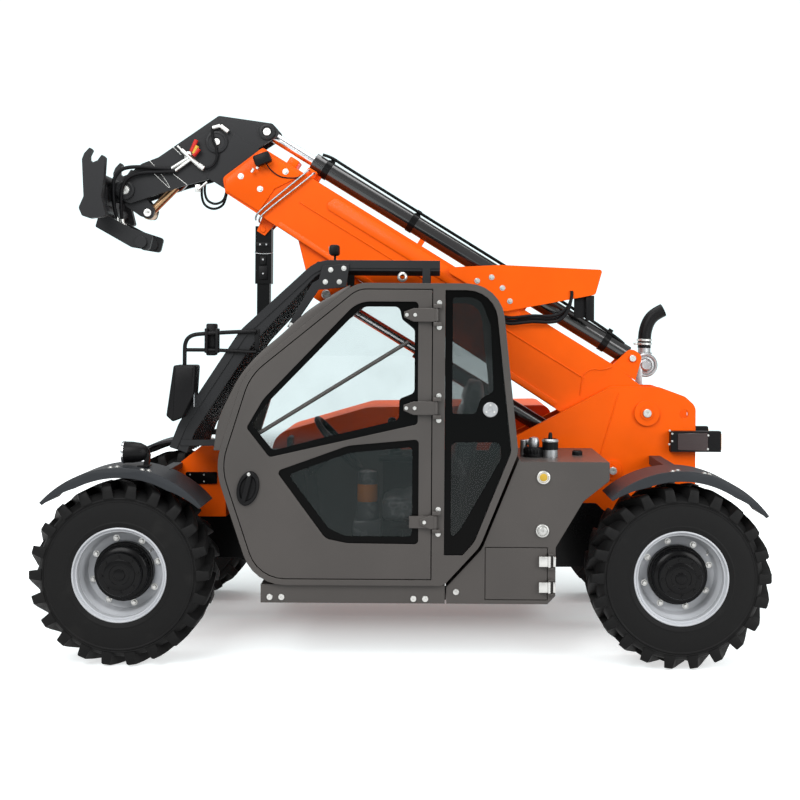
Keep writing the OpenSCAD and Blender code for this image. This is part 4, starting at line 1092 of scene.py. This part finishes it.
class TELE_OT_tank_fittings(bpy.types.Operator):
    """Models the plugs, caps, hinges and bolts of the tank box and the sill"""

    bl_idname = "tele.tank_fittings"
    bl_label = "Tank and sill fittings"

    def execute(self, context):
        bm = bmesh.new()
        ring = [(0, 0), (.034, 0), (.035, .004), (.033, .010), (.027, .012), (.024, .008), (0, .008)]
        sight, drain = places((SIGHT_GLASS_PX, DRAIN_PLUG_PX), TANK_FACE)
        for place in (sight, drain):
            turned(bm, ring, facing(place, NEAR), 40)
        turned(bm, [(0, .006), (.019, .006), (.019, .016), (.014, .018), (.006, .018), (.005, .014),
                    (0, .014)], facing(drain, NEAR), 32)
        for x, z in ((-.664, .341), (-.604, .341), (.065, .336), (.125, .336), (.281, .372)):
            cap(bm, (x, TANK_FACE, z), .016, .007)
        piece("tank_plugs", bm, "chassis", "zinc")
        bm = bmesh.new()
        turned(bm, [(0, .007), (.0205, .007), (.019, .011), (.010, .013), (0, .0135)],
               facing(sight, NEAR), 32)
        piece("tank_sight_glass", bm, "chassis", "yellow", 40)
        bm = bmesh.new()
        for z in HATCH_HINGES:
            block(bm, (.700, -.9045, z - .026), (.744, -.8985, z + .026), .002)
            peg(bm, (.752, -.9035, z - .028), (.752, -.9035, z + .028), .0085)
        piece("hatch_hinge_leaves", bm, "hatch", "zinc")
        bm = bmesh.new()
        for z in HATCH_HINGES:
            block(bm, (.772, -.9035, z - .026), (.785, -.8835, z + .026), .002)
        piece("hatch_hinge_feet", bm, "chassis", "zinc")
        self.top()
        return {"FINISHED"}

    def top(self):
        """Filler cap, breather and return filter on the tank's top."""
        y = -.62
        filler = (.690, y, TANK_TOP)
        filter_top = facing((.775, y - .02, TANK_TOP), UP)
        black = bmesh.new()
        turned(black, [(0, 0), (.056, 0), (.056, .012), (.052, .016), (.052, .042), (.047, .050),
                       (0, .050)], facing(filler, UP), 40)
        turned(black, [(0, .040), (.042, .040), (.042, .088), (.034, .094), (.012, .096), (.010, .122),
                       (.006, .130), (0, .130)], filter_top, 36)
        for i in range(20):
            turn = Matrix.Translation(filler) @ Matrix.Rotation(math.tau * i / 20, 4, "Z")
            block(black, (.050, -.003, .018), (.0555, .003, .042), .001, turn)
        turned(black, [(0, 0), (.028, 0), (.028, .018), (.020, .026), (0, .028)],
               facing((.930, y + .1, TANK_TOP), UP), 28)
        piece("tank_caps", black, "chassis", "plastic", 35)
        pale = bmesh.new()
        turned(pale, [(0, 0), (.040, 0), (.040, .041), (0, .041)], filter_top, 36)
        turned(pale, [(0, .050), (.026, .050), (.030, .062), (.030, .084), (.022, .100), (0, .106)],
               facing(filler, UP), 32)
        turned(pale, [(.0425, .080), (.044, .082), (.044, .090), (.036, .096)], filter_top, 36)
        peg(pale, (.640, y + .03, TANK_TOP), (.640, y + .03, 1.12), .020)
        peg(pale, (.640, y + .03, 1.105), (.690, y + .03, 1.112), .015)
        piece("tank_valves", pale, "chassis", "cast", 35)


class TELE_OT_fenders(bpy.types.Operator):
    """Models the fenders' rolled outer lips, mounting bolts and the front lamps"""

    bl_idname = "tele.fenders"
    bl_label = "Fenders and lamps"

    def execute(self, context):
        for x, first, last, name in ((-AXLE_X, 40, 138, "front"), (AXLE_X, 36, 132, "rear")):
            lips = bmesh.new()
            bolts = bmesh.new()
            for side in (-1, 1):
                self.lip(lips, x, side, first, last)
                for swing in (95, 92, 78, 75):
                    out = Vector((math.cos(math.radians(swing)), 0, math.sin(math.radians(swing))))
                    y = side * (.935 if swing in (92, 75) else .955)
                    bolt(bolts, Vector((x, y, AXLE_Z)) + out * FENDER_RADIUS, out, .010, .006)
            ease(lips, sharp(lips, 50), .003)
            piece(name + "_fender_lips", lips, "chassis", "fender")
            piece(name + "_fender_bolts", bolts, "chassis", "zinc")
        self.lamps()
        return {"FINISHED"}

    def lip(self, bm, x, side, first, last):
        """The folded outer edge of one fender, narrowing to rounded ends."""
        steps = 28
        rim = FENDER_RADIUS - .0002
        outer, inner = [], []
        for i in range(steps + 1):
            t = i / steps
            swing = math.radians(first + (last - first) * t)
            deep = .052 * min(1.0, 0.35 + 3.0 * min(t, 1 - t))
            for line, r in ((outer, rim), (inner, rim - deep)):
                line.append((x + r * math.cos(swing), AXLE_Z + r * math.sin(swing)))
        y0, y1 = (.962, .972) if side > 0 else (-.972, -.962)
        slab(bm, outer + inner[::-1], y0, y1)

    def lamps(self):
        """A head lamp on each front fender: housing, bezel, lens and bent bracket."""
        shells, lenses, rings = bmesh.new(), bmesh.new(), bmesh.new()
        for side in (-1, 1):
            y = side * .825
            at = facing((-1.425, y, 1.064), (1, 0, 0))
            turned(shells, [(.046, 0), (.053, .002), (.055, .010), (.054, .050), (.048, .090),
                            (.034, .118), (.014, .132), (0, .134)], at, 44)
            bracket = [(-1.315, 1.075), (-1.300, 1.080), (-1.286, 1.050), (-1.292, .996), (-1.318, .996),
                       (-1.312, 1.040)]
            slab(shells, bracket, y - .018, y + .018)
            block(shells, (-1.345, y - .045, .992), (-1.285, y + .045, 1.000), .003)
            turned(rings, [(.045, -.002), (.054, -.002), (.0575, .002), (.0575, .010), (.054, .012)], at,
                   44)
            peg(rings, (-1.322, y - .026, 1.062), (-1.322, y + .026, 1.062), .010)
            turned(lenses, [(0, -.010), (.020, -.008), (.038, -.003), (.046, .002), (.046, .006)], at, 44)
        made = piece("head_lamp_shells", shells, "chassis", "plastic", 35)
        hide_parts("head_lamps")
        piece("head_lamp_rings", rings, "chassis", "chrome", 35)
        piece("head_lamp_lenses", lenses, "chassis", "clear_lens", 40)


class TELE_OT_rear_fittings(bpy.types.Operator):
    """Models the tower's caps, the rear lamp faces, the air cleaner and the black plates of painted shade
    """

    bl_idname = "tele.rear_fittings"
    bl_label = "Rear fittings"

    def execute(self, context):
        pale = bmesh.new()
        cap(pale, (PIVOT.x, -.126, PIVOT.z), .024)
        cap(pale, (1.171, -.148, .909), .022)
        low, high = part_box("rear_lamps")
        for place in places(TOWER_SCREWS_PX, low[1] - .0005):
            bolt(pale, place, NEAR, .0065, .005, False)
        piece("tower_caps", pale, "chassis", "zinc")
        for side, y in ((-1, low[1]), (1, high[1])):
            bm = bmesh.new()
            outline = [(1.530, 1.032, .006), (1.700, 1.026, .006), (1.700, 1.128, .006),
                       (1.530, 1.122, .006)]
            slab(bm, rounded(outline), y, y + side * .0035)
            ease(bm, sharp(bm, 60), .001, 1)
            piece("lamp_arm_panel_" + ("left" if side < 0 else "right"), bm, "chassis", "red_lens")
        bm = bmesh.new()
        for y in (low[1] + .030, high[1] - .030):
            block(bm, (high[0], y - .026, 1.032), (high[0] + .0035, y + .026, 1.122), .001)
        piece("tail_lamp_faces", bm, "chassis", "amber")
        bead = [(x, FRAME_SIDE, z) for x, z in ((1.204, 1.345), (1.15, 1.16), (1.096, .968))]
        tube("tower_weld", bead, .004, "chassis", "orange", 2)
        self.cleaner()
        self.shade_plates()
        return {"FINISHED"}

    def shade_plates(self):
        """Black plates low on the left frame side behind the wheels, standing in for the shade and dark
        parts there, and the lamp plate on the nose.
        """
        bm = bmesh.new()
        # Painted shade: these black plates darken the frame side behind the wheels, where shade and dark
        # parts lie.
        front = [(-1.230, .742, .02), (-.72, .742, .01), (-.72, .400, .01), (-1.230, .400, .06)]
        rear = [(.800, .722, .01), (1.080, .722, .02), (1.215, .600, .03), (1.215, .360, .02),
                (.800, .360, .01)]
        for outline in (front, rear):
            slab(bm, rounded(outline), FRAME_SIDE, FRAME_SIDE - .004)
        ease(bm, sharp(bm, 60), .001, 1)
        piece("shade_plates", bm, "chassis", "black")
        bm = bmesh.new()
        plate = [(-1.190, .848, .008), (-1.020, .848, .008), (-1.020, .913, .008), (-1.190, .913, .008)]
        slab(bm, rounded(plate), -.3655, -.3745)
        ease(bm, sharp(bm, 60), .0015, 1)
        piece("nose_lamp_plate", bm, "chassis", "frit")
        bm = bmesh.new()
        for x, z in ((-1.166, .862), (-1.090, .862), (-1.166, .899), (-1.090, .899)):
            bolt(bm, (x, -.3745, z), NEAR, .005, .003, False)
        piece("nose_lamp_screws", bm, "chassis", "zinc")

    def cleaner(self):
        """Air cleaner bowl with its ringed cover, clamp and bent rubber inlet."""
        x, z, y = 1.405, 1.494, .198
        bm = bmesh.new()
        turned(bm, [(0, .012), (.024, .014), (.034, .008), (.040, -.002), (.052, -.004), (.056, .006),
                    (.064, .008), (.070, .002), (.071, -.030), (.067, -.036), (.067, -.140),
                    (.060, -.152), (0, -.152)], facing((x, y, z), NEAR), 56)
        turned(bm, [(.030, .040), (.034, .062), (.046, .064), (.046, .072), (.037, .074), (.037, .150)],
               facing((x, y + .060, z), UP), 40)
        block(bm, (x - .06, .1882, 1.312), (x - .02, .208, 1.524), .003)
        made = piece("air_cleaner", bm, "chassis", "cast", 35)
        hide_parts("air_intake")
        bm = bmesh.new()
        for low in (.118, .140):
            turned(bm, [(.0415, low), (.0450, low + .002), (.0450, low + .012), (.0415, low + .014)],
                   facing((x, y + .060, z), UP), 40)
        block(bm, (x - .064, y + .040, z + .118), (x - .044, y + .060, z + .132), .002)
        piece("inlet_clamps", bm, "chassis", "zinc", 35)
        y += .060
        tube("inlet_pipe", [(x, y, z + .100), (x + .001, y, z + .155), (x + .006, y, z + .205),
                            (x + .026, y, z + .262), (x + .062, y, z + .302), (x + .112, y, z + .326)],
             .039, "chassis", "plastic", 6)


class TELE_OT_cab_inside(bpy.types.Operator):
    """Models the padded seat, the levers, the dash and what else shows through the cab's glass"""

    bl_idname = "tele.cab_inside"
    bl_label = "Cab inside"

    def execute(self, context):
        self.seat()
        self.dash()
        self.levers()
        self.beacon()
        tube("door_strut", places(DOOR_STRUT_PX, -.852), .011, "door", "cab")
        return {"FINISHED"}

    def seat(self):
        """Cushion and back with sewn channels under their clear film, on a plain base."""
        low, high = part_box("seat")
        middle = (low[1] + high[1]) / 2
        bm = bmesh.new()
        tilt = Matrix.Rotation(math.radians(-4), 4, "Y")
        cushion(bm, Matrix.Translation((.100, middle, .772)) @ tilt, (.43, .47, .135), .22,
                (-.45, 0, .45))
        made = piece("seat_cushion", bm, "chassis", "film", 60)
        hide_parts("seat")
        bm = bmesh.new()
        lean = Matrix.Rotation(math.radians(-80), 4, "Y")
        cushion(bm, Matrix.Translation((.332, middle, 1.135)) @ lean, (.62, .45, .110), .25,
                (-.5, -.15, .2, .55))
        piece("seat_back", bm, "chassis", "film", 60)
        bm = bmesh.new()
        block(bm, (-.03, middle - .15, .448), (.19, middle + .15, .52), .012)
        block(bm, (.00, middle - .12, .52), (.17, middle + .12, .66), .02)
        block(bm, (-.06, middle - .19, .66), (.24, middle + .19, .705), .012)
        for side in (-1, 1):
            y = middle + side * .215
            block(bm, (.02, y - .008, .68), (.30, y + .008, .72), .004)
            block(bm, (.255, y - .008, .70), (.30, y + .008, .95), .004)
        piece("seat_base", bm, "chassis", "plastic", 35)

    def dash(self):
        """Dash top, dials and display behind the steering wheel."""
        bm = bmesh.new()
        block(bm, (-.66, -.70, .955), (-.52, -.36, 1.040), .025)
        block(bm, (-.610, -.64, 1.030), (-.585, -.50, 1.130), .010)
        block(bm, (-.14, -.35, .97), (.14, -.27, 1.010), .015)
        piece("dash_top", bm, "chassis", "plastic", 35)
        bm = bmesh.new()
        block(bm, (-.586, -.63, 1.040), (-.583, -.51, 1.122), .001)
        piece("dash_display", bm, "chassis", "frit", 35)
        bm = bmesh.new()
        for y in (-.46, -.41):
            turned(bm, [(.0, .001), (.018, .001), (.020, .004), (.022, .004), (.022, 0)],
                   facing((-.560, y, 1.040), UP), 28)
        piece("dash_dials", bm, "chassis", "zinc", 35)

    def levers(self):
        """The joystick on its boot, and the small levers beside the column."""
        bm = bmesh.new()
        turned(bm, [(0, .0), (.045, .0), (.040, .016), (.030, .022), (.033, .032), (.020, .042),
                    (.010, .050), (.008, .110), (.014, .116), (.024, .132), (.026, .170), (.022, .196),
                    (.012, .206), (0, .208)], facing((-.05, -.31, 1.008), (-.10, 0, 1)), 32)
        piece("joystick", bm, "chassis", "plastic", 40)
        for i, (start, end) in enumerate((((-.380, -.56, 1.02), (-.330, -.74, 1.11)),
                                          ((-.390, -.49, 1.02), (-.37, -.32, 1.10)))):
            tube("column_lever_%d" % i, [start, (Vector(start) + Vector(end)) / 2, end], .006, "chassis",
                 "plastic", 2)

    def beacon(self):
        """A beacon put by inside the door's lower pane, wrapped in film, with its amber band."""
        at = facing((-.185, -.62, .70), UP)
        bm = bmesh.new()
        turned(bm, [(0, 0), (.060, 0), (.062, .010), (.058, .090), (.058, .095), (0, .095)], at, 36)
        turned(bm, [(0, .185), (.050, .185), (.055, .200), (.050, .250), (.020, .258), (0, .258)], at, 36)
        block(bm, (-.260, -.68, .447), (-.110, -.56, .702), .02)
        piece("beacon_wrap", bm, "chassis", "film", 40)
        bm = bmesh.new()
        turned(bm, [(0, .093), (.052, .095), (.054, .105), (.054, .178), (.050, .187), (0, .187)], at, 36)
        piece("beacon_lens", bm, "chassis", "amber", 40)


def cushion(bm, matrix, size, crown, channels):
    """A crowned pad whose corners pull in, with sewn channels across its top."""
    start = bmesh.ops.create_cube(bm, size=2.0)["verts"]
    edges = list({e for v in start for e in v.link_edges})
    bmesh.ops.subdivide_edges(bm, edges=edges, cuts=23, use_grid_fill=True)
    for v in bm.verts:
        x, y, z = v.co
        pulled = sum(abs(c) ** 5 for c in v.co) ** -0.2
        lift = 1 + crown * (1 - x * x) * (1 - y * y)
        if z > 0:
            lift -= sum(0.30 * math.exp(-((x - c) / 0.05) ** 2) for c in channels) * (1 - y ** 8)
        sides = 1 - 0.05 * (1 - abs(y)) * abs(x) ** 6
        v.co = matrix @ Vector((x * pulled * sides * size[0] / 2, y * pulled * size[1] / 2,
                                z * pulled * lift * size[2] / 2))


class TELE_OT_cab_outside(bpy.types.Operator):
    """Models the mirror on its tubes, the guard's slats, the front rim, roof fittings and seals"""

    bl_idname = "tele.cab_outside"
    bl_label = "Cab outside"

    def execute(self, context):
        self.mirror()
        self.guard()
        self.rim()
        self.roof()
        self.seals()
        return {"FINISHED"}

    def mirror(self):
        """Mirror housing and glass, its two tubes, the clamp box and the end plate on the guard."""
        y = -.846
        bm = bmesh.new()
        slab(bm, rounded([(p.x, p.z, .012) for p in places(MIRROR_PX, y)], 4), y - .085, y + .055)
        ease(bm, sharp(bm, 50), .014, 3)
        for z in (1.44, 1.40):
            block(bm, (-1.128, y - .018, z - .010), (-1.088, y + .018, z + .010), .003)
        spot_block(bm, MIRROR_CLAMP_PX, y + .02, y + .09, .008)
        for x in (-.999, -.944):
            block(bm, (x - .008, y - .016, 1.575), (x + .008, y + .03, 1.700), .003)
        spot_block(bm, MIRROR_FOOT_PX, y + .012, y + .028, .002)
        made = piece("mirror_housing", bm, "chassis", "plastic", 35)
        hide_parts("mirror_arm")
        bm = bmesh.new()
        glass = [(y - .070, 1.300, .01), (y + .040, 1.300, .01), (y + .040, 1.495, .01),
                 (y - .070, 1.495, .01)]
        slab(bm, rounded(glass), 0, .002)
        bmesh.ops.rotate(bm, verts=bm.verts, cent=(0, 0, 0), matrix=Matrix.Rotation(math.pi / 2, 3, "Z"))
        bmesh.ops.translate(bm, verts=bm.verts, vec=(spot(*MIRROR_GLASS_PX, y).x + .0005, 0, 0))
        piece("mirror_glass", bm, "chassis", "mirror")
        tube("mirror_tube_upper", places(UPPER_TUBE_PX, y), .0105, "chassis", "plastic", 4)
        tube("mirror_tube_lower", places(LOWER_TUBE_PX, y), .0095, "chassis", "plastic", 4)

    def guard(self):
        """Flat slats on the guard's bars and midway between them, as deep as the photo shows."""
        low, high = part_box("roof_guard")
        outline = rounded([(.190, 2.0535, 0), (-.440, 2.0535, .18), (-.831, 1.691, .26),
                           (-1.141, 1.216, .2), (-1.1875, 1.094, 0), (-1.099, 1.060, 0),
                           (-1.056, 1.173, .15), (-.758, 1.629, .22), (-.419, 1.998, .14),
                           (.190, 1.998, 0)])
        bm = bmesh.new()
        for i in range(11):
            y = low[1] + .006 + i * (high[1] - low[1] - .026) / 10
            slab(bm, outline, y, y + .014)
        ease(bm, sharp(bm, 60), .0025, 1)
        piece("guard_slats", bm, "chassis", "head")
        y = low[1] - .010
        bm = bmesh.new()
        slab(bm, [(p.x, p.z) for p in places(GUARD_BRACE_PX, y)], y, y + .010)
        ease(bm, sharp(bm, 60), .0015, 1)
        piece("guard_brace", bm, "chassis", "head")
        bm = bmesh.new()
        for place in places(BRACE_BOLTS_PX, y):
            bolt(bm, place, NEAR, .009, .006)
        piece("guard_brace_bolts", bm, "chassis", "zinc")

    def rim(self):
        """The bowed frame edge along the front of both cab sides, proud of the straight panel."""
        bow = [(-.951, 1.083), (-.929, 1.229), (-.878, 1.350), (-.812, 1.471), (-.718, 1.579),
               (-.611, 1.672), (-.478, 1.793), (-.346, 1.880), (-.265, 1.925)]
        outer = [(p.x, p.z) for p in smooth_line([Vector((x, 0, z)) for x, z in bow], 4)]
        bm = bmesh.new()
        for y0, y1 in ((-.9035, -.868), (-.157, -.122)):
            slab(bm, outer + [(-.265, 1.904), (-.500, 1.712), (-.775, 1.470), (-.905, 1.083)], y0, y1)
        ease(bm, sharp(bm, 60), .004)
        piece("cab_front_rim", bm, "chassis", "cab")

    def roof(self):
        """Lifting eye, and a lamp on its stalk."""
        bm = bmesh.new()
        turned(bm, [(.014, 0), (.022, .003), (.026, .010), (.022, .017), (.014, .020), (.011, .010),
                    (.014, 0)], facing((-.002, -.842, 1.968), NEAR), 28)
        piece("roof_eye", bm, "chassis", "zinc", 40)
        bm = bmesh.new()
        block(bm, (-.402, -.53, 2.092), (-.350, -.45, 2.150), .012)
        block(bm, (-.380, -.50, 2.036), (-.368, -.48, 2.100), .003)
        piece("roof_lamp", bm, "chassis", "plastic", 35)
        bm = bmesh.new()
        turned(bm, [(0, 0), (.018, 0), (.022, .004), (.0, .006)],
               facing((-.402, -.49, 2.121), (-1, 0, 0)), 28)
        piece("roof_lamp_lens", bm, "chassis", "clear_lens", 40)

    def seals(self):
        """Dark seal strips behind the gaps at the door's pillar and at the sill's end."""
        bm = bmesh.new()
        block(bm, (.108, -.872, .58), (.170, -.862, 1.86), .003)
        block(bm, (.204, -.874, .328), (.230, -.866, .400), .002)
        piece("door_seals", bm, "chassis", "gasket")


# Past white, so it shows as plain white in the open and as a cool tint through the panes.
COOL_WHITE = (1.02, 1.20, 1.22)


class TELE_OT_stage(bpy.types.Operator):
    """Sets the floor, the lights and the camera"""

    bl_idname = "tele.stage"
    bl_label = "Stage"

    def execute(self, context):
        scene = context.scene
        self.floor()
        self.world(scene)
        # Each light has its place, what it points at, its size and its power.
        for name, place, target, size, power in (
                ("key_light", (-3.2, -6.5, 6.2), (0, 0, 1.0), 5.0, 480),
                ("fill_light", (5.5, -5.0, 3.6), (0.4, 0, 1.0), 4.0, 250),
                ("top_light", (0.3, 0.6, 7.5), (0, 0, 0.8), 5.5, 330)):
            lamp = bpy.data.lights.new(name, "AREA")
            lamp.size = size
            lamp.energy = power
            placed(name, lamp).matrix_world = facing(place, Vector(place) - Vector(target))
        view = bpy.data.cameras.new("photo_view")
        view.sensor_width = 36.0
        view.lens = CAMERA_LENS
        view.shift_x, view.shift_y = CAMERA_SHIFT
        camera = placed("photo_view", view)
        camera.location = CAMERA
        camera.rotation_euler = (math.pi / 2, -CAMERA_ROLL, 0)
        scene.camera = camera
        scene.view_settings.view_transform = "Standard"
        return {"FINISHED"}

    def floor(self):
        """A pale floor that keeps the machine's shadow, and whose glow adds a painted shadow near the
        machine.
        """
        bm = bmesh.new()
        bmesh.ops.create_grid(bm, x_segments=1, y_segments=1, size=60.0)
        mesh = bpy.data.meshes.new("floor")
        bm.to_mesh(mesh)
        bm.free()
        made = placed("floor", mesh)
        f = Finish("pale_floor")
        seen = f.node("ShaderNodeLightPath", out="Is Camera Ray")
        glossy = f.node("ShaderNodeLightPath", out="Is Glossy Ray")
        through = f.node("ShaderNodeLightPath", out="Is Transmission Ray")
        reach = f.node("ShaderNodeVectorMath", {"operation": "LENGTH"}, {0: f.object}, out="Value")
        distant = reach.over(11, 2)
        far = f.blend(distant, (1, 1, 1), COOL_WHITE)
        # Near the machine the floor's colour to the camera is a little cool, against the orange light that
        # the machine throws on it.
        tone = f.blend(seen, (0.34, 0.34, 0.34), f.blend(distant, (0.71, 0.79, 0.80), (0, 0, 0)))
        # Painted shadow: the glow to the camera is dim near the machine, dimmer behind its middle than in
        # front, and white far off.
        across = f.node("ShaderNodeSeparateXYZ", None, {0: f.object}, out="Y")
        front = (0.0 - across).over(0.06, 0.42)
        glow_with_painted_shadow = f.blend(reach.over(2.6, 1.2), f.blend(front, (0.17, 0.17, 0.17), (0.62, 0.62, 0.62)), far)
        f.set(Base_Color=tone, Roughness=0.9)
        f.set(Emission_Color=f.blend(seen + glossy + through, (0, 0, 0), glow_with_painted_shadow), Emission_Strength=1.0)
        mesh.materials.append(f.material)

    def world(self, scene):
        """White behind everything, cool through the panes, and a plain even light on the machine."""
        world = bpy.data.worlds.new("studio")
        world.use_nodes = True
        scene.world = world
        tree = world.node_tree
        back = tree.nodes["Background"]
        path = tree.nodes.new("ShaderNodeLightPath")
        either = tree.nodes.new("ShaderNodeMath")
        either.operation = "MAXIMUM"
        tree.links.new(path.outputs["Is Camera Ray"], either.inputs[0])
        tree.links.new(path.outputs["Is Transmission Ray"], either.inputs[1])
        level = tree.nodes.new("ShaderNodeMixRGB")
        level.inputs["Color1"].default_value = (0.5, 0.5, 0.5, 1)
        level.inputs["Color2"].default_value = (*COOL_WHITE, 1)
        tree.links.new(either.outputs[0], level.inputs["Fac"])
        tree.links.new(level.outputs[0], back.inputs["Color"])


class TELE_PT_looks(bpy.types.Panel):
    """Lists the steps that dress the telehandler"""

    bl_label = "Telehandler"
    bl_idname = "TELE_PT_looks"
    bl_space_type = "VIEW_3D"
    bl_region_type = "UI"
    bl_category = "Telehandler"

    def draw(self, context):
        for step in STEPS:
            self.layout.operator(step.bl_idname)


STEPS = (
    TELE_OT_paint_frame,
    TELE_OT_wheels,
    TELE_OT_cab_glazing,
    TELE_OT_door_fittings,
    TELE_OT_boom_dressing,
    TELE_OT_head_dressing,
    TELE_OT_tank_fittings,
    TELE_OT_fenders,
    TELE_OT_rear_fittings,
    TELE_OT_cab_inside,
    TELE_OT_cab_outside,
    TELE_OT_stage,
)
CLASSES = (LooksSettings, *STEPS, TELE_PT_looks)


def register():
    for cls in CLASSES:
        bpy.utils.register_class(cls)
    bpy.types.Scene.tele_looks = bpy.props.PointerProperty(type=LooksSettings)


def unregister():
    del bpy.types.Scene.tele_looks
    for cls in reversed(CLASSES):
        bpy.utils.unregister_class(cls)


def main():
    """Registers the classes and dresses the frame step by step."""
    register()
    for step in STEPS:
        group, call = step.bl_idname.split(".")
        getattr(getattr(bpy.ops, group), call)()


if __name__ == "__main__":
    main()
